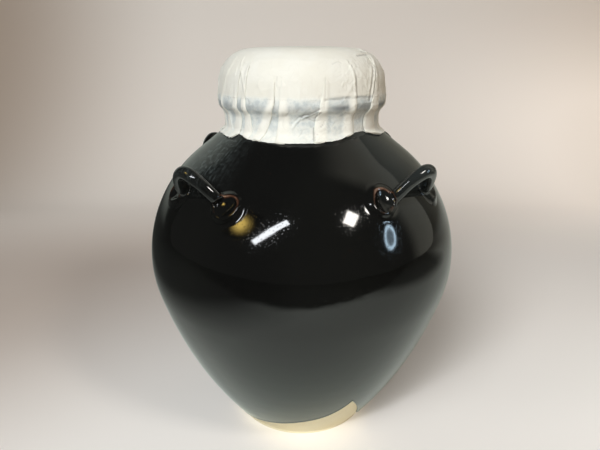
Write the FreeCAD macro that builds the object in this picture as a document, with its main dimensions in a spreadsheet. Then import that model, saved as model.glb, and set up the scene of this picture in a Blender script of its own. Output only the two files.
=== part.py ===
import FreeCAD, Part
import math
import os
import Sketcher
from FreeCAD import Placement, Rotation, Vector

# Tea jar: a stoneware leaf jar under black glaze, four lugs on the shoulder, a domed wooden lid,
# and one sheet of white paper pasted over the lid and the neck, cut round where the lid meets the rim.
# Millimetres and degrees. The origin is the middle of the foot, on the surface it stands on, +Z up.
# The front of the jar, between two lugs, faces -Y.

sizes = {
    "foot_radius": 60.0,        # bare clay at the foot
    "belly_radius": 129.8,      # widest radius of the glazed jar
    "belly_height": 155.5,      # height of the widest place
    "belly_arc": 94.8,          # radius of the curve just under the widest place
    "belly_turn": 15.7,         # how far that curve turns before the long flank starts
    "heel": 2.0,                # upright edge of the foot
    "shoulder_rise": 102.5,     # from the widest place to where the shoulder's curve would meet the neck
    "cone_slope": 38.0,         # slope of the straight stretch from the shoulder's curve up to the neck
    "neck_radius": 62.0,
    "neck_height": 30.5,        # from that meeting to the top of the rim
    "neck_round": 3.0,          # hollow curve between shoulder and neck
    "rim_bead": 5.2,            # radius of the rolled rim
    "bead_round": 2.5,          # hollow curve between neck and rolled rim
    "glaze": 0.8,               # thickness of the black coat
    "wall": 7.0,                # clay and glaze together
    "floor": 10.0,              # thickness of the bottom
    "floor_round": 14.0,        # curve between floor and wall, inside
    "mouth_radius": 54.0,
    "foot_recess_radius": 47.0,
    "foot_recess": 1.6,
    "dip_height": 27.5,         # first dip: height of its edge over the middle of the jar
    "dip_slope": 18.9,          # first dip: how steeply its edge climbs to the right
    "dip_bend_x": 10.0,         # where that edge starts to curl up
    "dip_curl": 61.9,           # radius of the curl
    "dip_margin": 13.0,         # how far the dips' slabs reach past the jar
    "lap_height": 7.0,          # second dip: height of its level edge
    "lap_front": 45.5,          # second dip: where the level edge would meet the rising one
    "lap_slope": 49.0,          # second dip: how steeply its edge climbs to the front
    "lap_round": 45.0,          # radius of the tongue between those two edges
    "lug_turn": 2.1,            # the four lugs are turned this far from the diagonals
    "lug_rise": 66.5,           # from the widest place up to the line through a lug's two roots
    "lug_tilt": 55.5,           # the bow's plane above the level
    "bow_half_width": 20.7,     # from the bow's middle to the middle of its root
    "bow_height": 23.4,         # from the roots to the middle of the coil at the top
    "bow_crest": 8.0,           # bend of the coil's middle line at the top
    "bow_crest_turn": 30.0,     # half of that bend's turn
    "rod_radius": 4.9,
    "root_depth": 7.0,          # how far the coil runs on inside the wall before it is trimmed
    "pad_drop": 1.2,            # from that line down to the middle of the thumb-pressed ends
    "pad_out": 7.9,             # how far outside the coil's root a pressed end lies
    "pad_ball": 15.5,           # roundness of a pressed end
    "pad_rise": 3.8,            # how far it stands out
    "thumb_ball": 8.5,          # roundness of the thumb's hollow
    "thumb_depth": 1.9,
    "paper": 0.5,               # paper with its paste and laps
    "seat_gap": 0.3,            # between the rim and the lid, and the knife cut between cap and skirt
    "lid_height": 35.9,         # from the lid's underside to its top
    "lid_taper": 6.0,           # lean of the lid's side
    "lid_corner": 26.5,         # curve from side to top
    "lid_crown": 620.0,         # radius of the nearly flat top
    "plug_depth": 10.0,
    "plug_clearance": 0.8,
    "plug_chamfer": 1.2,
    "skirt_low": 33.4,          # from the top of the rim down to the paper's lowest edge
    "notch_radius": 11.0,       # bites in the paper's lower edge
    "notch_drop": 36.9,         # from the top of the rim down to their middles
}
notch_angles = [-140.0, -42.0, 28.0, 93.0, 158.0]  # about +Z from +X, degrees

doc = FreeCAD.newDocument("tea_jar")
sheet = doc.addObject("Spreadsheet::Sheet", "dims")
for row, (alias, number) in enumerate(sizes.items(), start=1):
    sheet.set("A%d" % row, alias)
    sheet.set("B%d" % row, str(number))
    sheet.setAlias("B%d" % row, alias)
doc.recompute()

# Sizes that follow from the ones above, as expressions that the sketches share
side_step = "(dims.belly_radius - dims.neck_radius)"
shoulder_arc = "((%s^2 + dims.shoulder_rise^2) / (2 * %s))" % (side_step, side_step)
neck_foot = "(dims.belly_height + dims.shoulder_rise)"
jar_height = "(%s + dims.neck_height)" % neck_foot
turn_cos = "cos(dims.belly_turn * 1deg)"
turn_sin = "sin(dims.belly_turn * 1deg)"
flank_x = ("(dims.belly_radius - dims.belly_arc * (1 - %s) - dims.foot_radius - dims.glaze)" % turn_cos)
flank_z = "(dims.belly_height - dims.belly_arc * %s - dims.heel)" % turn_sin
flank_arc = "((%s^2 + %s^2) / (2 * (%s * %s - %s * %s)))" % (
    flank_x, flank_z, turn_cos, flank_x, turn_sin, flank_z)
rim_middle = "(%s - dims.rim_bead)" % jar_height
lid_bottom = "(%s + dims.seat_gap)" % jar_height
lid_top = "(%s + dims.lid_height)" % lid_bottom
lid_edge = "(dims.neck_radius + dims.rim_bead)"
slab_reach = "(dims.belly_radius + dims.dip_margin)"
lug_height = "(dims.belly_height + dims.lug_rise)"
crest_cos = "cos(dims.bow_crest_turn * 1deg)"
crest_sin = "sin(dims.bow_crest_turn * 1deg)"
crest_side = "(dims.bow_half_width - dims.bow_crest * %s)" % crest_sin
crest_drop = "(dims.bow_height - dims.bow_crest * (1 - %s))" % crest_cos
leg_arc = "((%s^2 + %s^2) / (2 * (%s * %s - %s * %s)))" % (
    crest_side, crest_drop, crest_drop, crest_cos, crest_side, crest_sin)


def value(expression):
    """The number that an expression over the sheet stands for."""
    result = sheet.evalExpression(expression)
    return float(getattr(result, "Value", result))


def make_body(name):
    body = doc.addObject("PartDesign::Body", name)
    body.Label = name
    return body


def make_sketch(body, name, role="XZ_Plane"):
    """A sketch on one of the body's own planes, by default the upright one through the axis."""
    sketch = body.newObject("Sketcher::SketchObject", name)
    plane = next(f for f in body.Origin.OriginFeatures if f.Role == role)
    sketch.AttachmentSupport = (plane, [""])
    sketch.MapMode = "FlatFace"
    return sketch


def add_line(sketch, start, end):
    return sketch.addGeometry(Part.LineSegment(Vector(*start, 0), Vector(*end, 0)), False)


def add_arc(sketch, middle, radius, start, end):
    circle = Part.Circle(Vector(*middle, 0), Vector(0, 0, 1), radius)
    return sketch.addGeometry(Part.ArcOfCircle(circle, start, end), False)


def relate(sketch, kind, *where):
    return sketch.addConstraint(Sketcher.Constraint(kind, *where))


def measure(sketch, kind, where, expression):
    """A size in the sketch that follows the sheet."""
    size = value(expression)
    if kind == "Angle":
        size = math.radians(size)
    index = sketch.addConstraint(Sketcher.Constraint(kind, *where, size))
    sketch.setExpression("Constraints[%d]" % index, expression)


def height(sketch, geometry, point, expression):
    measure(sketch, "DistanceY", (-1, 1, geometry, point), expression)


def distance_out(sketch, geometry, point, expression):
    measure(sketch, "DistanceX", (-1, 1, geometry, point), expression)


def revolve(body, sketch, kind="Revolution"):
    feature = body.newObject("PartDesign::" + kind, body.Name + "_" + sketch.Name + "_turn")
    feature.Profile = sketch
    feature.ReferenceAxis = (sketch, ["V_Axis"])
    feature.Angle = 360.0
    sketch.Visibility = False
    doc.recompute()
    return feature


def add_side_arcs(sketch, skin, lowest, highest):
    """Flank, belly and shoulder arcs of the jar, moved outwards by skin, between two angles."""
    grown = value(skin)
    tall = value("dims.belly_height")
    turn = math.radians(value("dims.belly_turn"))
    shoulder = value(shoulder_arc)
    belly = value("dims.belly_arc")
    flank = value(flank_arc)
    shoulder_x = value("dims.belly_radius") - shoulder
    belly_x = value("dims.belly_radius") - belly
    flank_middle = (belly_x - (flank - belly) * math.cos(turn), tall + (flank - belly) * math.sin(turn))
    g_flank = add_arc(sketch, flank_middle, flank + grown, lowest(flank_middle, flank + grown), -turn)
    g_belly = add_arc(sketch, (belly_x, tall), belly + grown, -turn, 0)
    g_shoulder = add_arc(sketch, (shoulder_x, tall), shoulder + grown, 0,
                         highest((shoulder_x, tall), shoulder + grown))
    relate(sketch, "Tangent", g_flank, 2, g_belly, 1)
    relate(sketch, "Tangent", g_belly, 2, g_shoulder, 1)
    measure(sketch, "Radius", (g_flank,), "%s + %s" % (flank_arc, skin))
    measure(sketch, "Radius", (g_belly,), "dims.belly_arc + %s" % skin)
    measure(sketch, "Radius", (g_shoulder,), "%s + %s" % (shoulder_arc, skin))
    distance_out(sketch, g_shoulder, 3, "dims.belly_radius - %s" % shoulder_arc)
    height(sketch, g_shoulder, 3, "dims.belly_height")
    height(sketch, g_belly, 3, "dims.belly_height")
    height(sketch, g_belly, 1, "dims.belly_height - (dims.belly_arc + %s) * %s" % (skin, turn_sin))
    return g_flank, g_belly, g_shoulder


def outer_profile(body, name, skin, upright_rim=False):
    """Half outline of the whole jar, closed on the axis, moved outwards by skin.

    With upright_rim the outline goes straight up from the widest place of the rim, as paper does."""
    sketch = make_sketch(body, name)
    grown = value(skin)
    foot = value("dims.foot_radius + dims.glaze") + grown
    neck = value("dims.neck_radius")
    rim_z = value(rim_middle)
    bead = value("dims.rim_bead")
    hollow = value("dims.bead_round")
    neck_round = value("dims.neck_round")
    shoulder = value(shoulder_arc)
    shoulder_x = value("dims.belly_radius") - shoulder
    tall = value("dims.belly_height")
    leave = math.pi / 2 - math.radians(value("dims.cone_slope"))
    round_x = neck + neck_round
    round_z = tall + (shoulder + neck_round - (round_x - shoulder_x) * math.cos(leave)) / math.sin(leave)
    hollow_z = rim_z - math.sqrt((bead + hollow) ** 2 - hollow ** 2)
    join = math.atan2(rim_z - hollow_z, -hollow)

    def lowest(middle, radius):
        return -math.acos((foot - middle[0]) / radius)

    def highest(middle, radius):
        return leave

    flank, belly, side = add_side_arcs(sketch, skin, lowest, highest)
    start = sketch.getPoint(flank, 1)
    base = add_line(sketch, (0, 0), (foot, 0))
    heel = add_line(sketch, (foot, 0), (foot, start.y))
    curl = add_arc(sketch, (round_x, round_z), neck_round - grown, math.pi, leave + math.pi)
    side_end = sketch.getPoint(side, 2)
    curl_end = sketch.getPoint(curl, 2)
    cone = add_line(sketch, (side_end.x, side_end.y), (curl_end.x, curl_end.y))
    stem = add_line(sketch, (neck + grown, round_z), (neck + grown, hollow_z))
    tuck = add_arc(sketch, (neck + hollow, hollow_z), hollow - grown, join, math.pi)
    roll_end = 0 if upright_rim else math.pi / 2
    roll = add_arc(sketch, (neck, rim_z), bead + grown, join - math.pi, roll_end)
    if upright_rim:
        top_z = value(jar_height)
        edge = neck + bead + grown
        upright = add_line(sketch, (edge, rim_z), (edge, top_z))
    else:
        top_z = value(jar_height) + grown
        edge = neck
    top = add_line(sketch, (edge, top_z), (0, top_z))
    axis = add_line(sketch, (0, top_z), (0, 0))

    relate(sketch, "Coincident", base, 1, -1, 1)
    relate(sketch, "Horizontal", base)
    distance_out(sketch, base, 2, "dims.foot_radius + dims.glaze + %s" % skin)
    relate(sketch, "Coincident", base, 2, heel, 1)
    relate(sketch, "Vertical", heel)
    relate(sketch, "Coincident", heel, 2, flank, 1)
    relate(sketch, "Tangent", side, 2, cone, 1)
    relate(sketch, "Tangent", cone, 2, curl, 2)
    measure(sketch, "Angle", (cone,), "180deg - dims.cone_slope * 1deg")
    relate(sketch, "Tangent", curl, 1, stem, 1)
    relate(sketch, "Tangent", stem, 2, tuck, 2)
    relate(sketch, "Tangent", tuck, 1, roll, 1)
    relate(sketch, "Vertical", stem)
    distance_out(sketch, stem, 1, "dims.neck_radius + %s" % skin)
    measure(sketch, "Radius", (curl,), "dims.neck_round - (%s)" % skin)
    measure(sketch, "Radius", (tuck,), "dims.bead_round - (%s)" % skin)
    measure(sketch, "Radius", (roll,), "dims.rim_bead + %s" % skin)
    distance_out(sketch, roll, 3, "dims.neck_radius")
    height(sketch, roll, 3, rim_middle)
    if upright_rim:
        relate(sketch, "Tangent", roll, 2, upright, 1)
        relate(sketch, "Vertical", upright)
        relate(sketch, "Coincident", upright, 2, top, 1)
        height(sketch, top, 1, jar_height)
    else:
        relate(sketch, "Tangent", roll, 2, top, 1)
    relate(sketch, "Horizontal", top)
    relate(sketch, "Coincident", top, 2, axis, 1)
    relate(sketch, "Coincident", axis, 2, -1, 1)
    relate(sketch, "Vertical", axis)
    return sketch


def cavity_profile(body, name):
    """Half outline of the hollow inside the jar, closed on the axis and open past the rim."""
    sketch = make_sketch(body, name)
    skin = "(-dims.wall)"
    floor_z = value("dims.floor")
    corner = value("dims.floor_round")
    mouth = value("dims.mouth_radius")
    over = value(jar_height) + value("dims.wall")
    found = {}

    def lowest(middle, radius):
        z = floor_z + corner
        x = middle[0] + math.sqrt((radius - corner) ** 2 - (z - middle[1]) ** 2)
        found["corner"] = (x, z)
        found["angle"] = math.atan2(z - middle[1], x - middle[0])
        return found["angle"]

    def highest(middle, radius):
        return math.acos((mouth - middle[0]) / radius)

    flank, belly, side = add_side_arcs(sketch, skin, lowest, highest)
    bend = add_arc(sketch, found["corner"], corner, -math.pi / 2, found["angle"])
    end = sketch.getPoint(side, 2)
    bottom = add_line(sketch, (0, floor_z), (found["corner"][0], floor_z))
    throat = add_line(sketch, (mouth, end.y), (mouth, over))
    top = add_line(sketch, (mouth, over), (0, over))
    axis = add_line(sketch, (0, over), (0, floor_z))
    relate(sketch, "Tangent", bend, 2, flank, 1)
    relate(sketch, "Tangent", bottom, 2, bend, 1)
    relate(sketch, "Horizontal", bottom)
    measure(sketch, "Radius", (bend,), "dims.floor_round")
    height(sketch, bottom, 1, "dims.floor")
    relate(sketch, "Coincident", side, 2, throat, 1)
    relate(sketch, "Vertical", throat)
    distance_out(sketch, throat, 1, "dims.mouth_radius")
    relate(sketch, "Coincident", throat, 2, top, 1)
    relate(sketch, "Horizontal", top)
    height(sketch, top, 1, "%s + dims.wall" % jar_height)
    relate(sketch, "Coincident", top, 2, axis, 1)
    relate(sketch, "Coincident", axis, 2, bottom, 1)
    relate(sketch, "Vertical", axis)
    relate(sketch, "PointOnObject", axis, 1, -2)
    return sketch


def block_profile(body, name, inner, outer, low, high):
    """A rectangle beside the axis, for a ring or a disc."""
    sketch = make_sketch(body, name)
    corners = [(inner, low), (outer, low), (outer, high), (inner, high)]
    spots = [(value(x), value(z)) for x, z in corners]
    lines = [add_line(sketch, spots[k], spots[(k + 1) % 4]) for k in range(4)]
    for k in range(4):
        relate(sketch, "Coincident", lines[k], 2, lines[(k + 1) % 4], 1)
    for k in (0, 2):
        relate(sketch, "Horizontal", lines[k])
    for k in (1, 3):
        relate(sketch, "Vertical", lines[k])
    height(sketch, lines[0], 1, low)
    height(sketch, lines[2], 1, high)
    distance_out(sketch, lines[1], 1, outer)
    if value(inner) == 0:
        relate(sketch, "PointOnObject", lines[0], 1, -2)
    else:
        distance_out(sketch, lines[0], 1, inner)
    return sketch


def lid_profile(body, name, skin, with_plug):
    """Half outline of the domed lid, moved outwards by skin, with or without its plug."""
    sketch = make_sketch(body, name)
    grown = value(skin)
    lean = math.radians(value("dims.lid_taper"))
    out = (math.cos(lean), math.sin(lean))
    up = (-math.sin(lean), math.cos(lean))
    bottom_z = value(lid_bottom)
    corner = value("dims.lid_corner")
    crown = value("dims.lid_crown")
    crown_z = value(lid_top) - crown
    edge = value(lid_edge)
    # the corner's middle lies on a line beside the lid's side, where it meets the crown without a kink
    base_x = edge - corner * out[0]
    base_z = bottom_z - corner * out[1] - crown_z
    along = base_x * up[0] + base_z * up[1]
    travel = -along + math.sqrt(along ** 2 - base_x ** 2 - base_z ** 2 + (crown - corner) ** 2)
    middle = (base_x + travel * up[0], base_z + travel * up[1] + crown_z)
    meet = math.atan2(middle[1] - crown_z, middle[0])
    start_x = edge + grown / out[0]
    side_top = (middle[0] + (corner + grown) * out[0], middle[1] + (corner + grown) * out[1])
    side = add_line(sketch, (start_x, bottom_z), side_top)
    turn = add_arc(sketch, middle, corner + grown, lean, meet)
    cap = add_arc(sketch, (0, crown_z), crown + grown, meet, math.pi / 2)
    relate(sketch, "Tangent", side, 2, turn, 1)
    relate(sketch, "Tangent", turn, 2, cap, 1)
    relate(sketch, "PointOnObject", cap, 3, -2)
    relate(sketch, "PointOnObject", cap, 2, -2)
    measure(sketch, "Radius", (turn,), "dims.lid_corner + %s" % skin)
    measure(sketch, "Radius", (cap,), "dims.lid_crown + %s" % skin)
    height(sketch, cap, 2, "%s + %s" % (lid_top, skin))
    measure(sketch, "Angle", (side,), "90deg + dims.lid_taper * 1deg")
    distance_out(sketch, side, 1, "%s + %s / cos(dims.lid_taper * 1deg)" % (lid_edge, skin))
    height(sketch, side, 1, lid_bottom)
    path = [(start_x, bottom_z)]
    if with_plug:
        plug = value("dims.mouth_radius - dims.plug_clearance")
        depth = value("dims.plug_depth")
        chamfer = value("dims.plug_chamfer")
        path += [(plug, bottom_z), (plug, bottom_z - depth + chamfer), (plug - chamfer, bottom_z - depth),
                 (0, bottom_z - depth)]
    else:
        path += [(0, bottom_z)]
    under = [add_line(sketch, path[k], path[k + 1]) for k in range(len(path) - 1)]
    axis = add_line(sketch, path[-1], (0, value(lid_top) + grown))
    relate(sketch, "Coincident", side, 1, under[0], 1)
    relate(sketch, "Horizontal", under[0])
    for first, second in zip(under, under[1:]):
        relate(sketch, "Coincident", first, 2, second, 1)
    if with_plug:
        relate(sketch, "Vertical", under[1])
        relate(sketch, "Horizontal", under[3])
        distance_out(sketch, under[1], 1, "dims.mouth_radius - dims.plug_clearance")
        distance_out(sketch, under[2], 2, "dims.mouth_radius - dims.plug_clearance - dims.plug_chamfer")
        height(sketch, under[1], 2, "%s - dims.plug_depth + dims.plug_chamfer" % lid_bottom)
        height(sketch, under[2], 2, "%s - dims.plug_depth" % lid_bottom)
    relate(sketch, "Coincident", under[-1], 2, axis, 1)
    relate(sketch, "Coincident", axis, 2, cap, 2)
    relate(sketch, "Vertical", axis)
    return sketch


def boolean(kind, name, base, tool):
    feature = doc.addObject("Part::" + kind, name)
    feature.Base = base
    feature.Tool = tool
    return feature


def fuse(name, shapes):
    feature = doc.addObject("Part::MultiFuse", name)
    feature.Shapes = shapes
    return feature


def shape_cylinder(name, radius, tall, placement):
    cylinder = doc.addObject("Part::Cylinder", name)
    cylinder.setExpression("Radius", radius)
    cylinder.setExpression("Height", tall)
    cylinder.Placement = placement
    return cylinder


def shape_ball(name, radius, middle):
    ball = doc.addObject("Part::Sphere", name)
    ball.setExpression("Radius", radius)
    ball.Placement = Placement(middle, Rotation())
    return ball


# jar_body: thrown clay, bare inside and at the foot
jar_body = make_body("jar_body")
revolve(jar_body, outer_profile(jar_body, "clay_outside", "(-dims.glaze)"))
revolve(jar_body, cavity_profile(jar_body, "clay_inside"), "Groove")
revolve(jar_body, block_profile(jar_body, "foot_hollow", "0", "dims.foot_recess_radius", "0",
                                "dims.foot_recess"), "Groove")

# Solids of the whole jar, filled in: bare, glazed and papered. The thin coats are cut out of them.
clay_blank = make_body("clay_blank")
revolve(clay_blank, outer_profile(clay_blank, "blank_outside", "(-dims.glaze)"))
glazed_blank = make_body("glazed_blank")
revolve(glazed_blank, outer_profile(glazed_blank, "glaze_outside", "0"))
papered_blank = make_body("papered_blank")
revolve(papered_blank, outer_profile(papered_blank, "paper_outside", "dims.paper", upright_rim=True))


# black_glaze: everything over the clay, down to the edges that two slanted dips left
def dip_tool(name, role, outline):
    """A slab as wide as the jar, under one dip's edge."""
    body = make_body(name)
    sketch = make_sketch(body, name + "_edge", role)
    outline(sketch)
    pad = body.newObject("PartDesign::Pad", name + "_slab")
    pad.Profile = sketch
    pad.setExpression("Length", "2 * %s" % slab_reach)
    pad.Midplane = True
    sketch.Visibility = False
    doc.recompute()
    return body


def close_slab(sketch, first_end, first_x, last_start, last_x, bottom):
    """Three sides of a slab, from the end of its edge down, along the bottom and up to the edge's start."""
    start = sketch.getPoint(*first_end)
    end = sketch.getPoint(*last_start)
    low = value(bottom)
    near_x = value(first_x)
    far_x = value(last_x)
    down = add_line(sketch, (near_x, start.y), (near_x, low))
    across = add_line(sketch, (near_x, low), (far_x, low))
    rise = add_line(sketch, (far_x, low), (far_x, end.y))
    relate(sketch, "Coincident", *first_end, down, 1)
    relate(sketch, "Coincident", down, 2, across, 1)
    relate(sketch, "Coincident", across, 2, rise, 1)
    relate(sketch, "Coincident", rise, 2, *last_start)
    relate(sketch, "Vertical", down)
    relate(sketch, "Horizontal", across)
    relate(sketch, "Vertical", rise)
    height(sketch, across, 1, bottom)
    distance_out(sketch, across, 1, first_x)
    distance_out(sketch, across, 2, last_x)


def first_dip(sketch):
    """Straight edge climbing to the right, then curling up until it stands upright."""
    slope = math.radians(value("dims.dip_slope"))
    curl = value("dims.dip_curl")
    bend_x = value("dims.dip_bend_x")
    reach = value(slab_reach)
    bend = (bend_x, value("dims.dip_height") + bend_x * math.tan(slope))
    middle = (bend[0] - curl * math.sin(slope), bend[1] + curl * math.cos(slope))
    left = (-reach, bend[1] - (bend[0] + reach) * math.tan(slope))
    edge = add_line(sketch, left, bend)
    climb = add_arc(sketch, middle, curl, slope - math.pi / 2, 0)
    level = add_line(sketch, (middle[0] + curl, middle[1]), (reach, middle[1]))
    relate(sketch, "Tangent", edge, 2, climb, 1)
    measure(sketch, "Radius", (climb,), "dims.dip_curl")
    measure(sketch, "Angle", (edge,), "dims.dip_slope * 1deg")
    distance_out(sketch, edge, 2, "dims.dip_bend_x")
    height(sketch, edge, 2, "dims.dip_height + dims.dip_bend_x * tan(dims.dip_slope * 1deg)")
    relate(sketch, "Coincident", climb, 2, level, 1)
    relate(sketch, "Horizontal", climb, 3, climb, 2)
    relate(sketch, "Horizontal", level)
    close_slab(sketch, (level, 2), slab_reach, (edge, 1), "-" + slab_reach, "-" + slab_reach)


def second_dip(sketch):
    """Level edge from the back, a rounded tongue, then an edge climbing to the front."""
    slope = math.radians(value("dims.lap_slope"))
    level = value("dims.lap_height")
    front = -value("dims.lap_front")
    tongue = value("dims.lap_round")
    reach = value(slab_reach)
    run = tongue * math.tan(slope / 2)
    climb_top = (-reach, level + (reach + front) * math.tan(slope))
    touch = (front - run * math.cos(slope), level + run * math.sin(slope))
    level_line = add_line(sketch, (reach, level), (front + run, level))
    curve = add_arc(sketch, (front + run, level + tongue), tongue, -math.pi / 2 - slope, -math.pi / 2)
    climb = add_line(sketch, touch, climb_top)
    relate(sketch, "Horizontal", level_line)
    relate(sketch, "Tangent", level_line, 2, curve, 2)
    relate(sketch, "Tangent", curve, 1, climb, 1)
    measure(sketch, "Radius", (curve,), "dims.lap_round")
    measure(sketch, "Angle", (climb,), "180deg - dims.lap_slope * 1deg")
    height(sketch, level_line, 1, "dims.lap_height")
    distance_out(sketch, curve, 3, "dims.lap_round * tan(dims.lap_slope * 0.5deg) - dims.lap_front")
    close_slab(sketch, (climb, 2), "-" + slab_reach, (level_line, 1), slab_reach, "-" + slab_reach)


bare_foot = boolean("Common", "bare_foot", dip_tool("under_first_dip", "XZ_Plane", first_dip),
                    dip_tool("under_second_dip", "YZ_Plane", second_dip))
mouth_core = shape_cylinder("mouth_core", "dims.mouth_radius", "dims.neck_height + dims.wall",
                            Placement(Vector(0, 0, value(neck_foot)), Rotation()))
glaze_coat = boolean("Cut", "glaze_coat", glazed_blank, clay_blank)
black_glaze = boolean("Cut", "black_glaze", glaze_coat, fuse("glaze_limits", [bare_foot, mouth_core]))
black_glaze.Label = "black_glaze"

# Lugs: a round coil bowed out of the shoulder, its two ends pressed down with the thumb.
# Each is built facing +X and turned about the jar's axis.
shoulder_middle = value("dims.belly_radius - %s" % shoulder_arc)


def shoulder_radius(tall):
    """How far out the glazed shoulder is at a height."""
    return shoulder_middle + math.sqrt(value(shoulder_arc) ** 2 - (tall - value("dims.belly_height")) ** 2)


chord = math.sqrt(shoulder_radius(value(lug_height)) ** 2 - value("dims.bow_half_width") ** 2)
tilt = math.radians(value("dims.lug_tilt"))
bow_frame = Placement(Vector(chord, 0, value(lug_height)),
                      Rotation(Vector(0, 1, 0), Vector(math.cos(tilt), 0, math.sin(tilt)),
                               Vector(math.sin(tilt), 0, -math.cos(tilt)), "XYZ"))
crest_turn = math.radians(value("dims.bow_crest_turn"))


def bent_rod(name, ring, middle, start, sweep):
    """A stretch of the coil: part of a ring in the bow's plane, angles in radians."""
    rod = doc.addObject("Part::Torus", name)
    rod.setExpression("Radius1", ring)
    rod.setExpression("Radius2", "dims.rod_radius")
    rod.Angle3 = math.degrees(sweep)
    rod.Placement = bow_frame.multiply(Placement(Vector(*middle, 0), Rotation(Vector(0, 0, 1),
                                                                               math.degrees(start))))
    return rod


def make_lug(name, turned):
    crest = value("dims.bow_crest")
    leg = value(leg_arc)
    top = (0, value("dims.bow_height") - crest)
    quarter = math.pi / 2
    direction = quarter - crest_turn
    leg_middle = ((crest - leg) * math.cos(direction), top[1] + (crest - leg) * math.sin(direction))
    root = math.atan2(-leg_middle[1], value("dims.bow_half_width") - leg_middle[0])
    sweep = direction - root + value("dims.root_depth") / leg
    parts = [bent_rod(name + "_crest", "dims.bow_crest", top, direction, 2 * crest_turn),
             bent_rod(name + "_leg_a", leg_arc, leg_middle, direction - sweep, sweep),
             bent_rod(name + "_leg_b", leg_arc, (-leg_middle[0], leg_middle[1]), quarter + crest_turn, sweep)]
    pad_z = value("%s - dims.pad_drop" % lug_height)
    rise_angle = math.asin((pad_z - value("dims.belly_height")) / value(shoulder_arc))
    spread = math.degrees(math.asin(value("dims.bow_half_width + dims.pad_out") / shoulder_radius(pad_z)))
    stand = value(shoulder_arc) + value("dims.pad_rise")
    for hand, word in ((1, "a"), (-1, "b")):
        about = Rotation(Vector(0, 0, 1), hand * spread)

        def spot(distance):
            return about.multVec(Vector(shoulder_middle + distance * math.cos(rise_angle), 0,
                                        value("dims.belly_height") + distance * math.sin(rise_angle)))
        press = shape_ball(name + "_press_" + word, "dims.pad_ball", spot(stand - value("dims.pad_ball")))
        thumb = shape_ball(name + "_thumb_" + word, "dims.thumb_ball",
                           spot(stand - value("dims.thumb_depth") + value("dims.thumb_ball")))
        parts.append(boolean("Cut", name + "_pad_" + word, press, thumb))
    lug = fuse(name, [boolean("Cut", part.Name + "_outside", part, glazed_blank) for part in parts])
    lug.Label = name
    lug.Placement = Placement(Vector(0, 0, 0), Rotation(Vector(0, 0, 1), turned))
    return lug


lug_names = ["lug_front_left", "lug_front_right", "lug_back_right", "lug_back_left"]
lug_step = 360.0 / len(lug_names)
front = -90.0
lugs = [make_lug(name, front + (count - 0.5) * lug_step + value("dims.lug_turn"))
        for count, name in enumerate(lug_names)]

# wooden_lid: turned from one block, with a plug that drops into the mouth
wooden_lid = make_body("wooden_lid")
revolve(wooden_lid, lid_profile(wooden_lid, "lid_outline", "0", with_plug=True))

# paper_cap: the sheet over the lid, down to the knife cut
cap_blank = make_body("cap_blank")
revolve(cap_blank, lid_profile(cap_blank, "cap_outline", "dims.paper", with_plug=False))
lid_core = make_body("lid_core")
revolve(lid_core, lid_profile(lid_core, "core_outline", "0", with_plug=False))
paper_cap = boolean("Cut", "paper_cap", cap_blank, lid_core)
paper_cap.Label = "paper_cap"

# paper_skirt: the same sheet below the cut, round the rim and neck and out onto the shoulder,
# with bites where its lower edge lifts
skirt_bottom = "(%s - dims.skirt_low)" % jar_height
below_skirt = shape_cylinder("below_skirt", slab_reach, skirt_bottom, Placement())
rim_core = shape_cylinder("rim_core", lid_edge, "dims.rim_bead + dims.wall",
                          Placement(Vector(0, 0, value(rim_middle)), Rotation()))
notch_middle = Vector(0, 0, value("%s - dims.notch_drop" % jar_height))
notches = []
for count, angle in enumerate(notch_angles, start=1):
    turned = Rotation(Vector(0, 0, 1), angle)
    across = turned.multiply(Rotation(Vector(0, 1, 0), 90))
    notches.append(shape_cylinder("notch_%d" % count, "dims.notch_radius", "dims.belly_radius",
                                  Placement(notch_middle, across)))
skirt_limits = fuse("skirt_limits", [glazed_blank, below_skirt, rim_core] + notches)
paper_skirt = boolean("Cut", "paper_skirt", papered_blank, skirt_limits)
paper_skirt.Label = "paper_skirt"

doc.recompute()

pieces = [jar_body, black_glaze] + lugs + [wooden_lid, paper_cap, paper_skirt]
for item in doc.Objects:
    if "Invalid" in item.State or "Error" in item.State:
        raise RuntimeError("%s did not rebuild: %s" % (item.Name, item.State))
os.makedirs("parts", exist_ok=True)
for piece in pieces:
    shape = piece.Shape
    if shape.isNull() or not shape.isValid() or not shape.Solids:
        raise RuntimeError("%s has no sound shape" % piece.Label)
    print("%-16s solids %d  volume %.1f cm3" % (piece.Label, len(shape.Solids), shape.Volume / 1000))
for piece in pieces:
    piece.Shape.exportStep("parts/%s.step" % piece.Label)
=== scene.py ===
import math
import bpy
import bmesh
import numpy as np
from mathutils import Matrix, Quaternion, Vector


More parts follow.
